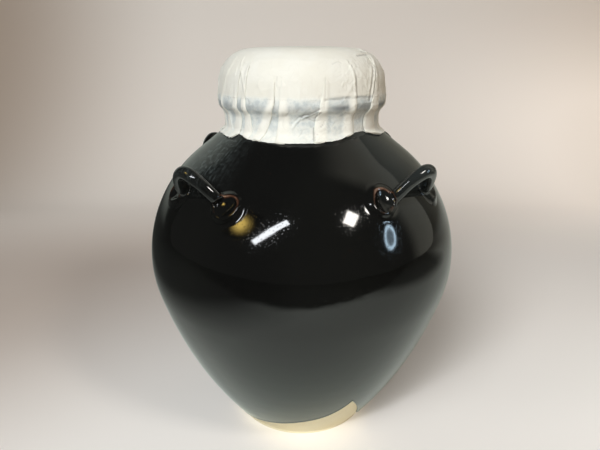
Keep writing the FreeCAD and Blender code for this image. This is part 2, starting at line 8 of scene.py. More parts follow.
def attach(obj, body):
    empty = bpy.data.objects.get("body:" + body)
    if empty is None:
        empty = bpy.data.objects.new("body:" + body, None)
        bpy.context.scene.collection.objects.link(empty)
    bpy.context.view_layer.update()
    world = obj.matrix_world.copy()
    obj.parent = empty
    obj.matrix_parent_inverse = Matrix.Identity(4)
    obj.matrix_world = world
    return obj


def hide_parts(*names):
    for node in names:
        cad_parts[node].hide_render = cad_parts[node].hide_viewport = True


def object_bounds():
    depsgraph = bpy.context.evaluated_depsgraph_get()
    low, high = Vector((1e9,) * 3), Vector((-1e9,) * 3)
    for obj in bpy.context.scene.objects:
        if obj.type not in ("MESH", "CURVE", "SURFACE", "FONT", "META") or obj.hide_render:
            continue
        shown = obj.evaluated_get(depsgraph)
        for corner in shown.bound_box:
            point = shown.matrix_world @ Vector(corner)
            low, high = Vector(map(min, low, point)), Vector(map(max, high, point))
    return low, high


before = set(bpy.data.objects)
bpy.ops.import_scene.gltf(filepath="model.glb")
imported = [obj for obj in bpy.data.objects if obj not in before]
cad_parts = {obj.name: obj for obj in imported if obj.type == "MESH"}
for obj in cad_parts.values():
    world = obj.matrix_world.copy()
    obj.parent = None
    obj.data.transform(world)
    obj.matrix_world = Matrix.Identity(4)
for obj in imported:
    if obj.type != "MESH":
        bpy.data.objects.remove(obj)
cadLow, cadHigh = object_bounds()
mm = 0.001
black = (0.0, 0.0, 0.0)
print("frame loaded:", ", ".join(sorted(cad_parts)))

# The jar's front is -Y. Turns about its axis are counted from the front and grow to the right (+X).


def addObject(name, data, place=(0.0, 0.0, 0.0)):
    made = bpy.data.objects.new(name, data)
    made.location = place
    bpy.context.scene.collection.objects.link(made)
    return made


def addMesh(name, points, faces):
    mesh = bpy.data.meshes.new(name)
    mesh.from_pydata(points, [], faces)
    return mesh


# Shader maths

class Wire:                             # a number in a shader that can be reckoned with
    def __init__(self, finish, socket):
        self.finish = finish
        self.socket = socket

    def joined(self, operation, first, second):
        return self.finish.node("Math", {"operation": operation}, {0: first, 1: second})

    def __add__(self, other):
        return self.joined("ADD", self, other)

    def __radd__(self, other):
        return self.joined("ADD", other, self)

    def __sub__(self, other):
        return self.joined("SUBTRACT", self, other)

    def __rsub__(self, other):
        return self.joined("SUBTRACT", other, self)

    def __mul__(self, other):
        return self.joined("MULTIPLY", self, other)

    def __rmul__(self, other):
        return self.joined("MULTIPLY", other, self)


class Finish:                           # a material, or the world, and the nodes that make it
    def __init__(self, name, kind="BsdfPrincipled", world=False):
        self.material = (bpy.data.worlds if world else bpy.data.materials).new(name)
        self.material.use_nodes = True
        self.nodes = self.material.node_tree.nodes
        self.links = self.material.node_tree.links
        self.nodes.clear()
        end = self.nodes.new("ShaderNodeOutputWorld" if world else "ShaderNodeOutputMaterial")
        self.shader = self.nodes.new("ShaderNode" + kind)
        self.links.new(self.shader.outputs[0], end.inputs["Surface"])

    def plug(self, socket, value):
        if isinstance(value, Wire):
            self.links.new(value.socket, socket)
        elif hasattr(value, "__len__") and len(value) == 3 and socket.type == "RGBA":
            socket.default_value = (*value, 1.0)
        else:
            socket.default_value = value

    def node(self, kind, settings=None, sockets=None, output=0):
        made = self.nodes.new("ShaderNode" + kind)
        for name, value in (settings or {}).items():
            setattr(made, name, value)
        for name, value in (sockets or {}).items():
            self.plug(made.inputs[name], value)
        return Wire(self, made.outputs[output])

    def set(self, **values):            # BaseColor for the socket "Base Color", and so on
        for name, value in values.items():
            words = "".join(" " + letter if letter.isupper() else letter for letter in name)
            self.plug(self.shader.inputs[words.strip().replace("I O R", "IOR")], value)

    def place(self):
        return self.node("TexCoord", output="Object")

    def axes(self, spot=None):          # the three parts of a place
        spot = spot or self.place()
        return [self.node("SeparateXYZ", {}, {0: spot}, axis) for axis in range(3)]

    def ray(self, kind):
        return self.node("LightPath", output="Is %s Ray" % kind)

    def mark(self, name):               # a value that the mesh carries
        return self.node("Attribute", {"attribute_name": name}, output="Fac")

    def noise(self, scale, detail=3.0, stretch=(1.0, 1.0, 1.0), rough=0.5, twist=0.0):
        spot = self.node("Mapping", {}, {"Vector": self.place(), "Scale": stretch})
        return self.node("TexNoise", {}, {"Vector": spot, "Scale": scale, "Detail": detail,
                                          "Roughness": rough, "Distortion": twist})

    def ramp(self, value, low, high, start=0.0, end=1.0):
        return self.node("MapRange", {"interpolation_type": "SMOOTHSTEP"},
                         {"Value": value, "From Min": low, "From Max": high, "To Min": start, "To Max": end})

    def product(self, rows, places, total=None):
        # ramps multiplied together: the place that each follows, and its limits
        for name, *limits in rows:
            share = self.ramp(places[name], *limits)
            total = share if total is None else total * share
        return total

    def veins(self, scale, reach):
        # nothing on thin wandering lines, 1 away from them
        web = self.noise(scale, 2.0, (1.0, 1.0, 0.7), 0.5, 0.7)
        return self.ramp(self.node("Math", {"operation": "ABSOLUTE"}, {0: web - 0.5}), 0.0, reach)

    def blend(self, amount, first, second):
        return self.node("Mix", {"data_type": "RGBA"}, {0: amount, 6: first, 7: second}, 2)

    def coats(self, tone, *coats):      # colours laid over a tone one after another
        for amount, colour in coats:
            tone = self.blend(amount, tone, colour)
        return tone

    def bump(self, height, strength, depth, under=None):
        sockets = {"Height": height, "Strength": strength, "Distance": depth}
        if under is not None:
            sockets["Normal"] = under
        return self.node("Bump", {}, sockets)


# Camera

camera = {
    "place": (-1.4 * mm, -437.8 * mm, 321.2 * mm),
    "tilt": 18.51,                  # degrees below level
    "sensor": 36.0,
    "lens": 31.2,
    "nearest": 0.01,
}


def makeCamera():
    data = bpy.data.cameras.new("camera")
    data.sensor_width = camera["sensor"]
    data.lens = camera["lens"]
    data.clip_start = camera["nearest"]
    eye = addObject("camera", data, camera["place"])
    eye.rotation_euler = (math.radians(90.0 - camera["tilt"]), 0.0, 0.0)
    bpy.context.scene.camera = eye


# The room's own light. Directions are parts of a unit vector: right, back and up.

room = {
    "glow": 0.03,                   # even light from all round
    "tint": (1.0, 0.99, 0.97),
    "sideGlow": 0.5,                # more of it, low down on the right
    "sideTint": (1.0, 0.75, 0.52),
    "tintRight": [("right", -0.3, 0.8)],
    "glowRight": [("right", 0.35, 0.85), ("up", 0.55, 0.15)],
    "mirrored": (0.045, 0.045, 0.042),      # what the glaze mirrors of it,
    "mirroredRight": (0.50, 0.49, 0.41),    # and far to the right
    "mirrorRight": [("right", 0.1, 0.5), ("back", -0.14, 0.10)],
    "seen": (0.90, 0.84, 0.77),
}


def makeWorld():
    sky = Finish("studio", "MixShader", world=True)
    bpy.context.scene.world = sky.material
    way = dict(zip(("right", "back", "up"), sky.axes(sky.node("TexCoord", output="Generated"))))
    tint = sky.blend(sky.product(room["tintRight"], way), room["tint"], room["sideTint"])
    strength = room["glow"] + sky.product(room["glowRight"], way, room["sideGlow"])
    glow = sky.node("Background", {}, {"Color": tint, "Strength": strength})
    dark = sky.blend(sky.product(room["mirrorRight"], way), room["mirrored"], room["mirroredRight"])
    mirrored = sky.node("Background", {}, {"Color": dark})
    pale = sky.node("Background", {}, {"Color": room["seen"]})
    unseen = sky.node("MixShader", {}, {0: sky.ray("Glossy"), 1: glow, 2: mirrored})
    for socket, value in enumerate((sky.ray("Camera"), unseen, pale)):
        sky.plug(sky.shader.inputs[socket], value)


# Floor and backdrop: one sheet of pale paper that curves up behind the jar

sweep = {
    "halfWidth": 2.6,
    "curveStart": 0.62,             # where it starts to curve up
    "curveRadius": 0.42,
    "curveParts": 24,
    "top": 1.9,
    # As the camera sees it: the floor's colour, and those laid over it one after another. Each has the ramps
    # that bring it in, along across (to the right), back, high, or one of the mixed places in sweepPlaces.
    "floorColour": (0.95, 0.925, 0.88),
    "coats": [
        ([("leftwards", 0.07, 0.50)], (0.55, 0.475, 0.415)),                    # painted shade left of the jar
        ([("back", -0.02, 0.22, 0.0, 0.22)], (0.55, 0.475, 0.415)),             # painted shade behind it
        ([("back", 0.28, 0.72)], (0.90, 0.84, 0.77)),                           # the far floor
        ([("high", 0.02, 0.75)], (0.83, 0.79, 0.735)),                          # the backdrop
        ([("cloud", 0.35, 0.65, 0.0, 0.12)], (0.62, 0.57, 0.52)),
        ([("across", 0.3, 1.2, 0.0, 0.9), ("back", 0.3, 0.7)], (0.86, 0.74, 0.62)),         # its right
        ([("farLeft", 0.46, 1.04, 0.0, 0.86), ("back", 0.3, 0.7)], (0.36, 0.28, 0.215)),    # and painted shade on its left
    ],
    # painted light: a glow that only the camera sees, more of it further back and to the right: strength, and
    # products of ramps that are added up
    "glow": 0.42,
    "lifts": [
        [("back", 0.0, 0.6, 0.06, 0.34)],
        [("across", 0.1, 0.40, 0.0, 0.26), ("back", 0.5, 0.1)],
        [("back", 0.02, -0.06, 0.0, 0.09), ("across", -0.3, 0.0)],
        [("across", 0.15, 0.8, 0.0, 0.80), ("back", 0.25, 0.7),
         ("high", 0.1, 0.5, 1.0, 0.0), ("high", 0.2, 0.6, 1.0, 0.8)],
    ],
    # as it lights the jar: left, right and near the jar
    "bounceLeft": (0.20, 0.20, 0.19),
    "bounceRight": (0.34, 0.21, 0.11),
    "bounceAcross": [("across", -0.1, 0.4)],
    "bounceNear": (0.86, 0.82, 0.74),
    "bounceMiddle": (0.0, -0.30, 0.0),
    "bounceReach": (0.24, 0.7),
    # as the glaze mirrors it: floor, left wall and right wall, and how far each is lit
    "mirrorFloor": (0.93, 1.0, 0.92),
    "mirrorLeft": (0.64, 0.71, 0.64),
    "mirrorRight": (0.46, 0.47, 0.40),
    "mirrorAcross": [("across", -0.1, 0.1)],
    "mirrorHigh": [("high", 0.03, 0.25)],
    "wander": 0.16,                 # how uneven the lit floor's front edge is
    "floorLit": [("across", -0.45, 0.06, 0.06, 1.0)],
    "floorDim": [("across", 0.35, 0.75, 0.0, 0.88), ("back", 0.50, 0.15)],
    "frontLit": [("front", -0.42, -0.10, 1.0, 1.45), ("front", -0.56, -0.43, 0.03, 1.0)],
    "wallLit": [("across", -1.6, -1.2, 0.12, 1.0)],
    "wallDim": [("high", 1.3, 1.9, 0.0, 0.6), ("across", 0.5, -0.3)],
}


def sweepMesh():
    start, radius = sweep["curveStart"], sweep["curveRadius"]
    side = [(-sweep["halfWidth"], 0.0), (start, 0.0)]
    for step in range(1, sweep["curveParts"] + 1):
        angle = math.pi / 2 * step / sweep["curveParts"]
        side.append((start + radius * math.sin(angle), radius * (1.0 - math.cos(angle))))
    side.append((start + radius, sweep["top"]))
    count = len(side)
    points = [(x, y, z) for x in (-sweep["halfWidth"], sweep["halfWidth"]) for y, z in side]
    mesh = addMesh("sweep", points, [(k, k + 1, count + k + 1, count + k) for k in range(count - 1)])
    mesh.shade_smooth()
    return mesh


def sweepPlaces(finish):
    across, back, high = finish.axes()
    return {"across": across, "back": back, "high": high, "leftwards": 0.5 * back - across,
            "farLeft": 0.1 * high - across + 0.15 * back, "cloud": finish.noise(1.1, 1.0),
            "front": back + sweep["wander"] * (finish.noise(5.0, 2.0) - 0.5)}


def mirroredSweep(finish, places):
    lit = finish.product(sweep["floorLit"], places) * (1 - finish.product(sweep["floorDim"], places))
    lit = finish.product(sweep["frontLit"], places, lit)
    floor = finish.blend(lit, black, sweep["mirrorFloor"])
    toRight = finish.product(sweep["mirrorAcross"], places)
    side = finish.blend(toRight, sweep["mirrorLeft"], sweep["mirrorRight"])
    lit = finish.product(sweep["wallLit"], places) * (1 - finish.product(sweep["wallDim"], places))
    wall = finish.blend(lit, black, side)
    return finish.blend(finish.product(sweep["mirrorHigh"], places), floor, wall)


def makeSweep():
    finish = Finish("seamlessPaper")
    places = sweepPlaces(finish)
    tone = finish.coats(sweep["floorColour"],
                        *((finish.product(rows, places), colour) for rows, colour in sweep["coats"]))
    seen = finish.ray("Camera")
    # painted light: a glow seen only by the camera, added where these ramps lift it
    lift = finish.product(sweep["lifts"][0], places)
    for rows in sweep["lifts"][1:]:
        lift = lift + finish.product(rows, places)
    glow = finish.blend(seen * lift, black, tone)
    toRight = finish.product(sweep["bounceAcross"], places)
    bounced = finish.blend(toRight, sweep["bounceLeft"], sweep["bounceRight"])
    ends = {0: finish.place(), 1: sweep["bounceMiddle"]}
    apart = finish.node("VectorMath", {"operation": "DISTANCE"}, ends, 1)
    bounced = finish.blend(finish.ramp(apart, *sweep["bounceReach"]), sweep["bounceNear"], bounced)
    tone = finish.blend(seen, bounced, tone)
    tone = finish.blend(finish.ray("Glossy"), tone, mirroredSweep(finish, places))
    finish.set(BaseColor=tone, Roughness=0.9, SpecularIORLevel=0.1, EmissionColor=glow,
               EmissionStrength=sweep["glow"])
    mesh = sweepMesh()
    mesh.materials.append(finish.material)
    addObject("sweep", mesh)


# Lamps

lamps = {
    "middle": (0.0, 0.0, 0.17),     # what the soft lamps are aimed at
    "soft": {                       # place, width and power
        "key": ((-0.558, -1.283, 1.187), 0.75, 20.4),
        "rim": ((0.25, 1.05, 1.4), 0.8, 2.0),
    },
    "mirrored": (0.0, 0.0, 0.2),    # and what faces the small ones and the patches
    # small lamps that show in the glaze: two ends (turn, climb), each with the place that mirrors it,
    # reach, width, power and colour
    "small": {
        "stripLamp": ((-37.5, 24.6), (-0.032, -0.116, 0.201), (-12.9, 45.3), (-0.009, -0.113, 0.214),
                      1.5, 0.12, 7.0, (0.93, 0.96, 1.0)),
        "windowLamp": ((41.0, 37.8), (0.031, -0.108, 0.214), (52.0, 44.8), (0.033, -0.106, 0.218),
                       1.5, 0.22, 6.0, (1.0, 0.96, 0.90)),
        "backLamp": ((158.0, 30.0), (0.03, 0.112, 0.20), (176.0, 40.0), (0.02, 0.113, 0.21),
                     1.6, 0.16, 4.0, (1.0, 0.97, 0.92)),
    },
    "smallShare": 0.04,             # how much the small lamps add to the soft light
    # glowing patches that are no lamps, painted reflections that only the glaze mirrors: turn and climb, the
    # place that mirrors it, reach, half its width and height, roll, colour, strength, how much darker its
    # middle is, and where its edge ends
    "patches": {
        "warmPatch": ((-53.0, 35.0), (-0.04, -0.105, 0.205), 1.7, (0.36, 0.36), 0.0,
                      (0.95, 0.66, 0.16), 13.0, 0.0, 0.9),
        "coolPatch": ((69.6, 17.6), (0.059, -0.104, 0.202), 1.5, (0.165, 0.29), -0.44,
                      (0.62, 0.83, 1.0), 17.0, 0.62, 0.30),
    },
    "patchMiddle": (0.26, 0.56),    # where the darker middle begins and ends
}


def aimed(spot, target):
    return (Vector(target) - Vector(spot)).to_track_quat("-Z", "Y")


def towards(turn, climb):
    turn, climb = math.radians(turn), math.radians(climb)
    return Vector((math.sin(turn) * math.cos(climb), -math.cos(turn) * math.cos(climb), math.sin(climb)))


def makeLamp(name, place, width, depth, power, colour=(1.0, 1.0, 1.0), share=1.0, mirrored=False):
    data = bpy.data.lights.new(name, "AREA")
    data.shape = "RECTANGLE"
    data.size, data.size_y = width, depth
    data.energy = power
    data.color = colour
    data.diffuse_factor = share
    lamp = addObject(name, data, place)
    lamp.rotation_mode = "QUATERNION"
    lamp.rotation_quaternion = aimed(place, lamps["middle"])
    lamp.visible_glossy = mirrored      # soft lamps light the jar, small ones show in its glaze
    return lamp


def makeSmallLamps():
    for name, (low, lowSeen, high, highSeen, reach, width, power, colour) in lamps["small"].items():
        first = Vector(lowSeen) + reach * towards(*low)
        last = Vector(highSeen) + reach * towards(*high)
        place = (first + last) / 2
        lamp = makeLamp(name, place, width, (last - first).length, power, colour, lamps["smallShare"], True)
        along = (last - first).normalized()
        facing = (place - Vector(lamps["mirrored"])).normalized()
        across = along.cross(facing).normalized()
        lamp.rotation_quaternion = Matrix((across, facing.cross(across), facing)).transposed().to_quaternion()


def makePatches():
    for name, row in lamps["patches"].items():
        aim, seenAt, reach, (wide, tall), roll, colour, strength, hollow, edge = row
        place = Vector(seenAt) + reach * towards(*aim)
        corners = [(-wide, -tall, 0.0), (wide, -tall, 0.0), (wide, tall, 0.0), (-wide, tall, 0.0)]
        mesh = addMesh(name, corners, [(0, 1, 2, 3)])
        patch = addObject(name, mesh, place)
        patch.rotation_mode = "QUATERNION"
        patch.rotation_quaternion = aimed(place, lamps["mirrored"]) @ Quaternion((0.0, 0.0, 1.0), roll)
        for ray in ("camera", "diffuse", "transmission", "shadow"):
            setattr(patch, "visible_" + ray, False)
        finish = Finish(name, "Emission")
        spot = finish.node("Mapping", {}, {0: finish.place(), "Scale": (1 / wide, 1 / tall, 1.0)})
        ball = finish.node("TexGradient", {"gradient_type": "SPHERICAL"}, {0: spot})
        bright = finish.ramp(ball, 0.0, edge) * finish.ramp(ball, *lamps["patchMiddle"], 1.0, 1.0 - hollow)
        finish.set(Color=finish.blend(bright * bright, black, colour), Strength=strength)
        mesh.materials.append(finish.material)


makeCamera()
makeWorld()
makeSweep()
makeSmallLamps()
makePatches()
for name, (place, width, power) in lamps["soft"].items():
    makeLamp(name, place, width, width, power)
bpy.context.scene.view_settings.view_transform = "Standard"
print("studio ready")


# Outline of the jar, as it was thrown

jar = {
    "footRadius": 60.8 * mm,
    "heel": 2.0 * mm,
    "bellyRadius": cadHigh.x,
    "bellyHeight": 155.5 * mm,
    "bellyArc": 94.8 * mm,
    "bellyTurn": math.radians(15.7),
    "shoulderRise": 102.5 * mm,
    "coneSlope": math.radians(38.0),    # of the straight stretch from the shoulder's curve up to the neck
    "neckRadius": 62.0 * mm,
    "neckHeight": 30.5 * mm,
    "neckRound": 3.0 * mm,
    "rimBead": 5.2 * mm,
    "beadRound": 2.5 * mm,
    "mouthRadius": 54.0 * mm,
    "step": 0.5 * mm,
    "lugTurns": {"lug_front_left": -42.9, "lug_front_right": 47.1, "lug_back_right": 137.1,
                 "lug_back_left": -132.9},
}


def arcRun(middle, radius, start, end, hollow=False):
    return {"middle": middle, "radius": radius, "start": start, "end": end, "hollow": hollow}


def lineRun(first, last):
    return {"first": first, "last": last}


def lineRuns(*points):
    return [lineRun(*pair) for pair in zip(points[:-1], points[1:])]


def walk(runs, step):
    # points, outward directions and distance along an outline of runs, evenly spaced within each
    points, outward = [], []
    for run in runs:
        if "middle" in run:
            length = abs(run["end"] - run["start"]) * run["radius"]
            parts = max(2, math.ceil(length / step))
            turn = np.linspace(run["start"], run["end"], parts + 1)
            ray = np.stack([np.cos(turn), np.sin(turn)], 1)
            spots = np.array(run["middle"]) + run["radius"] * ray
            facing = -ray if run["hollow"] else ray
        else:
            first, last = np.array(run["first"]), np.array(run["last"])
            length = float(np.linalg.norm(last - first))
            parts = max(1, math.ceil(length / step))
            spots = first + (last - first) * np.linspace(0.0, 1.0, parts + 1)[:, None]
            along = (last - first) / length
            facing = np.tile([along[1], -along[0]], (parts + 1, 1))
        skip = 1 if points and np.linalg.norm(spots[0] - points[-1][-1]) < 1e-7 else 0
        points.append(spots[skip:])
        outward.append(facing[skip:])
    points = np.concatenate(points)
    return points, np.concatenate(outward), distances(points)


def distances(points):
    return np.concatenate([[0.0], np.cumsum(np.linalg.norm(np.diff(points, axis=0), axis=1))])


def jarRuns():
    tall, turn, radius = jar["bellyHeight"], jar["bellyTurn"], jar["bellyArc"]
    neck, bead, beadRound = jar["neckRadius"], jar["rimBead"], jar["beadRound"]
    side = jar["bellyRadius"] - neck
    shoulder = (side ** 2 + jar["shoulderRise"] ** 2) / (2 * side)
    shoulderX = jar["bellyRadius"] - shoulder
    bellyX = jar["bellyRadius"] - radius
    # the flank's arc leaves the belly's smoothly and passes through the foot's edge
    flankX = bellyX + radius * math.cos(turn) - jar["footRadius"]
    flankZ = tall - radius * math.sin(turn) - jar["heel"]
    flank = (flankX ** 2 + flankZ ** 2) / (2 * (math.cos(turn) * flankX - math.sin(turn) * flankZ))
    flankMiddle = (bellyX - (flank - radius) * math.cos(turn), tall + (flank - radius) * math.sin(turn))
    lowest = -math.acos((jar["footRadius"] - flankMiddle[0]) / flank)
    # the straight slope touches the shoulder's arc and the small hollow at the neck's foot
    roundX = neck + jar["neckRound"]
    leave = math.pi / 2 - jar["coneSlope"]
    roundZ = tall + (shoulder + jar["neckRound"] - (roundX - shoulderX) * math.cos(leave)) / math.sin(leave)
    coneStart = (shoulderX + shoulder * math.cos(leave), tall + shoulder * math.sin(leave))
    coneEnd = (roundX - jar["neckRound"] * math.cos(leave), roundZ - jar["neckRound"] * math.sin(leave))
    top = tall + jar["shoulderRise"] + jar["neckHeight"]
    rimZ = top - bead
    hollowZ = rimZ - math.sqrt((bead + beadRound) ** 2 - beadRound ** 2)
    join = math.atan2(rimZ - hollowZ, -beadRound)
    jar.update(shoulder=shoulder, shoulderX=shoulderX, top=top, rimZ=rimZ, leave=leave, coneStart=coneStart)
    return [
        lineRun((jar["footRadius"], 0.0), (jar["footRadius"], jar["heel"])),
        arcRun(flankMiddle, flank, lowest, -turn),
        arcRun((bellyX, tall), radius, -turn, 0.0),
        arcRun((shoulderX, tall), shoulder, 0.0, leave),
        lineRun(coneStart, coneEnd),
        arcRun((roundX, roundZ), jar["neckRound"], math.pi + leave, math.pi, hollow=True),
        lineRun((neck, roundZ), (neck, hollowZ)),
        arcRun((neck + beadRound, hollowZ), beadRound, math.pi, join, hollow=True),
        arcRun((neck, rimZ), bead, join - math.pi, math.pi / 2),
        lineRun((neck, top), (jar["mouthRadius"], top)),
    ]


jarOutline = jarRuns()
jarPoints, jarFacing, jarAlong = walk(jarOutline, jar["step"])


# What all the pieces are made with

def makePiece(name, points, faces, finish, body, nodes, marks):
    mesh = addMesh(name, np.asarray(points).tolist(), faces if isinstance(faces, list) else faces.tolist())
    for markName, values in marks.items():
        mark = mesh.attributes.new(markName, "FLOAT", "POINT")
        mark.data.foreach_set("value", np.asarray(values, np.float32))
    mesh.validate()
    mesh.shade_smooth()
    mesh.materials.append(finish.material)
    piece = addObject(name, mesh)
    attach(piece, body)
    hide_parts(*nodes)
    return piece


def ringTurns(columns):
    return np.linspace(0, 2 * math.pi, columns, endpoint=False)


def gridFaces(rows, columns):
    # quads between rows of a ring, the last column joined to the first
    row, column = np.meshgrid(np.arange(rows - 1), np.arange(columns), indexing="ij")
    after = (column + 1) % columns
    low, high = row * columns, (row + 1) * columns
    return np.stack([low + column, low + after, high + after, high + column], -1).reshape(-1, 4)


def turned(radius, height, turns):
    # points of rings: radius and height by row (and column), turns by column
    return np.stack([radius * np.sin(turns), -radius * np.cos(turns), height + 0.0 * turns], -1)


def makeSpun(name, radius, height, finish, body, nodes, inner=None):
    # a spun shape whose first and last rings close onto two points on the axis
    rows, columns = radius.shape
    rings = turned(radius, height, ringTurns(columns))
    poles = [[0.0, 0.0, rings[end, :, 2].mean()] for end in (0, -1)]
    ring = np.arange(columns)
    after, count, last = (ring + 1) % columns, rows * columns, (rows - 1) * columns
    faces = gridFaces(rows, columns).tolist()
    faces += np.stack([np.full(columns, count), after, ring], 1).tolist()
    faces += np.stack([np.full(columns, count + 1), last + ring, last + after], 1).tolist()
    marks = {} if inner is None else {"inner": np.concatenate([inner.ravel(), inner[[0, -1], 0]])}
    points = np.concatenate([rings.reshape(-1, 3), poles])
    return makePiece(name, points, faces, finish, body, nodes, marks)


def smoothStep(value, low, high):
    share = np.clip((value - low) / (high - low), 0.0, 1.0)
    return share * share * (3 - 2 * share)


def bell(value, width):
    return np.exp(-(value / width) ** 2)


def wander(turns, height, seed, waves, size):
    # smooth unevenness that closes on itself round the jar
    luck = np.random.default_rng(seed)
    total = 0.0
    for _ in range(waves):
        around = luck.integers(1, 6)
        up = luck.uniform(2.0, 9.0) / 0.1
        total = total + luck.uniform(0.5, 1.0) * np.sin(around * turns + up * height + luck.uniform(0, 6.28))
    return size * total / waves


# Black glaze: one coat over the clay, its lower edge left by two slanted dips

glaze = {
    "thickness": 0.8 * mm,
    "sunk": 0.06 * mm,              # how far its inside lies within the clay
    "columns": 576,
    "edgeRows": (0.0, 0.12, 0.3, 0.55, 0.9, 1.4, 2.1, 3.0, 4.2, 5.8, 7.6),     # mm above the edge
    "rowStep": 2.2 * mm,
    "levelFrom": 90 * mm,           # rows follow the edge low down, and lie level from this far up
    "dipHeight": 27.5 * mm,
    "dipSlope": math.radians(18.9),
    "dipBend": 10.0 * mm,
    "dipCurl": 61.9 * mm,
    "lapHeight": 7.0 * mm,
    "lapFront": 45.5 * mm,
    "lapSlope": math.radians(49.0),
    "lapRound": 45.0 * mm,
    "edgeRoll": 0.9 * mm,           # how far up the coat grows to its full thickness
    "edgeBead": 0.22 * mm,          # the coat is a little thicker just above its edge,
    "beadUp": 1.6 * mm,             # this far up
    "beadWide": 1.1 * mm,
    "ringSize": 0.005 * mm,         # throwing rings left in the glazed wall
    "ringPitch": 10.5 * mm,
    "swell": 0.12 * mm,             # slow unevenness of the wall
    "calmTop": (26 * mm, 12 * mm),  # no unevenness near the mouth,
    "calmLug": (0.036, 0.012),      # nor round the lugs
    "lugSpot": (0.108, 0.218),      # radius and height of the lugs' middles
    "thinUp": 2.4 * mm,             # the coat is thin at its edge,
    "lapTurn": (38.0, 12.0),        # and in a patch above the second dip's edge
    "lapUp": 9 * mm,
    "lipAt": (7 * mm, 3 * mm),      # and breaks to brown at the lip
    "colour": (0.0035, 0.0036, 0.0034),
    "streakColour": (0.0058, 0.0060, 0.0052),
    "breakColour": (0.040, 0.017, 0.009),
    "breakPale": (0.17, 0.105, 0.075),
    "thinColour": (0.020, 0.024, 0.023),
    "lowColour": (0.0105, 0.0150, 0.0122),
    "lowHeights": (0.045, 0.135, 1.0, 0.0),
    # dust and fine scratches, with a painted sheen, on the shoulder, left and right: ramps along turn (radians)
    # and height
    "dustAndSheenColour": (0.085, 0.102, 0.100),
    "dustAndSheenLeft": [("angle", -0.45, -1.1), ("angle", -2.2, -1.6), ("high", 0.218, 0.240)],
    "dustAndSheenRight": [("angle", 0.45, 0.9), ("angle", 2.2, 1.5), ("high", 0.19, 0.24, 0.0, 0.25)],
    "dustAndSheenGrain": (0.45, 0.63, 0.12, 0.9),
    "pitScale": 620.0,
}


def firstDip(x):
    # height of the first dip's edge over a place x to the right
    slope, curl, bend = glaze["dipSlope"], glaze["dipCurl"], glaze["dipBend"]
    bendZ = glaze["dipHeight"] + bend * math.tan(slope)
    middleX, middleZ = bend - curl * math.sin(slope), bendZ + curl * math.cos(slope)
    straight = glaze["dipHeight"] + x * math.tan(slope)
    within = np.clip(curl ** 2 - (x - middleX) ** 2, 0.0, None)
    return np.where(x < bend, straight, middleZ - np.sqrt(within))


def secondDip(y):
    # height of the second dip's edge: level from the back, then climbing to the front
    slope, level, tongue = glaze["lapSlope"], glaze["lapHeight"], glaze["lapRound"]
    run = tongue * math.tan(slope / 2)
    middleY = run - glaze["lapFront"]
    climb = level - (y + glaze["lapFront"]) * math.tan(slope)
    within = np.clip(tongue ** 2 - (y - middleY) ** 2, 0.0, None)
    curve = level + tongue - np.sqrt(within)
    touch = -glaze["lapFront"] - run * math.cos(slope)
    return np.where(y > middleY, level, np.where(y > touch, curve, climb))


def glazeEdge(turns):
    # distance along the outline at which the glaze starts, for each turn about the axis
    reach = jarAlong < 120 * mm
    radius, height, along = jarPoints[reach, 0], jarPoints[reach, 1], jarAlong[reach]
    spots = radius[:, None] * np.sin(turns), -radius[:, None] * np.cos(turns)
    over = height[:, None] - np.minimum(firstDip(spots[0]), secondDip(spots[1]))
    last = over.shape[0] - 1 - np.argmax((over < 0)[::-1], axis=0)
    columns = np.arange(len(turns))
    below, above = over[last, columns], over[last + 1, columns]
    share = below / (below - above)
    return along[last] + share * (along[last + 1] - along[last])


def onOutline(along, skin):
    # radius and height at a distance along the jar's outline, moved outwards by skin
    spot = [np.interp(along, jarAlong, line) for line in jarPoints.T]
    face = [np.interp(along, jarAlong, line) for line in jarFacing.T]
    size = np.hypot(*face)
    return spot[0] + skin * face[0] / size, spot[1] + skin * face[1] / size


def glazeFinish():
    finish = Finish("blackGlaze")
    thin, broken = finish.mark("thin"), finish.mark("broken")
    mottle = finish.noise(26.0, 4.0)
    streak = finish.noise(9.0, 3.0, (1.0, 1.0, 0.35))
    across, back, high = finish.axes()
    angle = finish.node("Math", {"operation": "ARCTAN2"}, {0: across, 1: 0 - back})
    places = {"angle": angle, "high": high}
    meridians = finish.node("CombineXYZ", {}, {0: 26 * angle, 1: 18 * high})
    streaks = finish.node("TexNoise", {}, {"Vector": meridians, "Scale": 3.0, "Detail": 5.0, "Roughness": 0.7})
    grain = finish.ramp(0.62 * streaks + 0.38 * finish.noise(330.0, 4.0), *glaze["dustAndSheenGrain"])
    # dust and scratches with a painted sheen on the shoulders
    dustAndSheen = finish.product(glaze["dustAndSheenLeft"], places) * grain + finish.product(glaze["dustAndSheenRight"], places)
    edge = broken + 0.5 * (mottle - 0.5) + 1.5 * (finish.noise(130.0, 3.0) - 0.5)
    tone = finish.coats(
        glaze["colour"],
        (finish.ramp(streak, 0.35, 0.75), glaze["streakColour"]),
        (finish.ramp(high + 0.03 * (streak - 0.5), *glaze["lowHeights"]), glaze["lowColour"]),
        (thin, glaze["thinColour"]),
        (dustAndSheen, glaze["dustAndSheenColour"]),
        (finish.ramp(edge, 0.3, 0.8), glaze["breakColour"]),
        (finish.ramp(edge, 0.75, 1.2), glaze["breakPale"]))
    sheen = finish.ramp(mottle, 0.3, 0.8, 0.05, 0.085) + 0.10 * thin + 0.10 * dustAndSheen
    pits = finish.node("TexVoronoi", {}, {"Vector": finish.place(), "Scale": glaze["pitScale"]})
    specks = finish.bump(finish.noise(2600.0, 1.0), 0.09, 0.012 * mm)
    pitted = finish.bump(finish.ramp(pits, 0.0, 0.26), 0.8, 0.03 * mm, specks)
    peel = finish.bump(finish.noise(520.0, 2.0), 0.10, 0.03 * mm, pitted)
    finish.set(BaseColor=tone, Roughness=sheen, IOR=1.52, Normal=finish.bump(mottle, 0.10, 0.20 * mm, peel))
    return finish


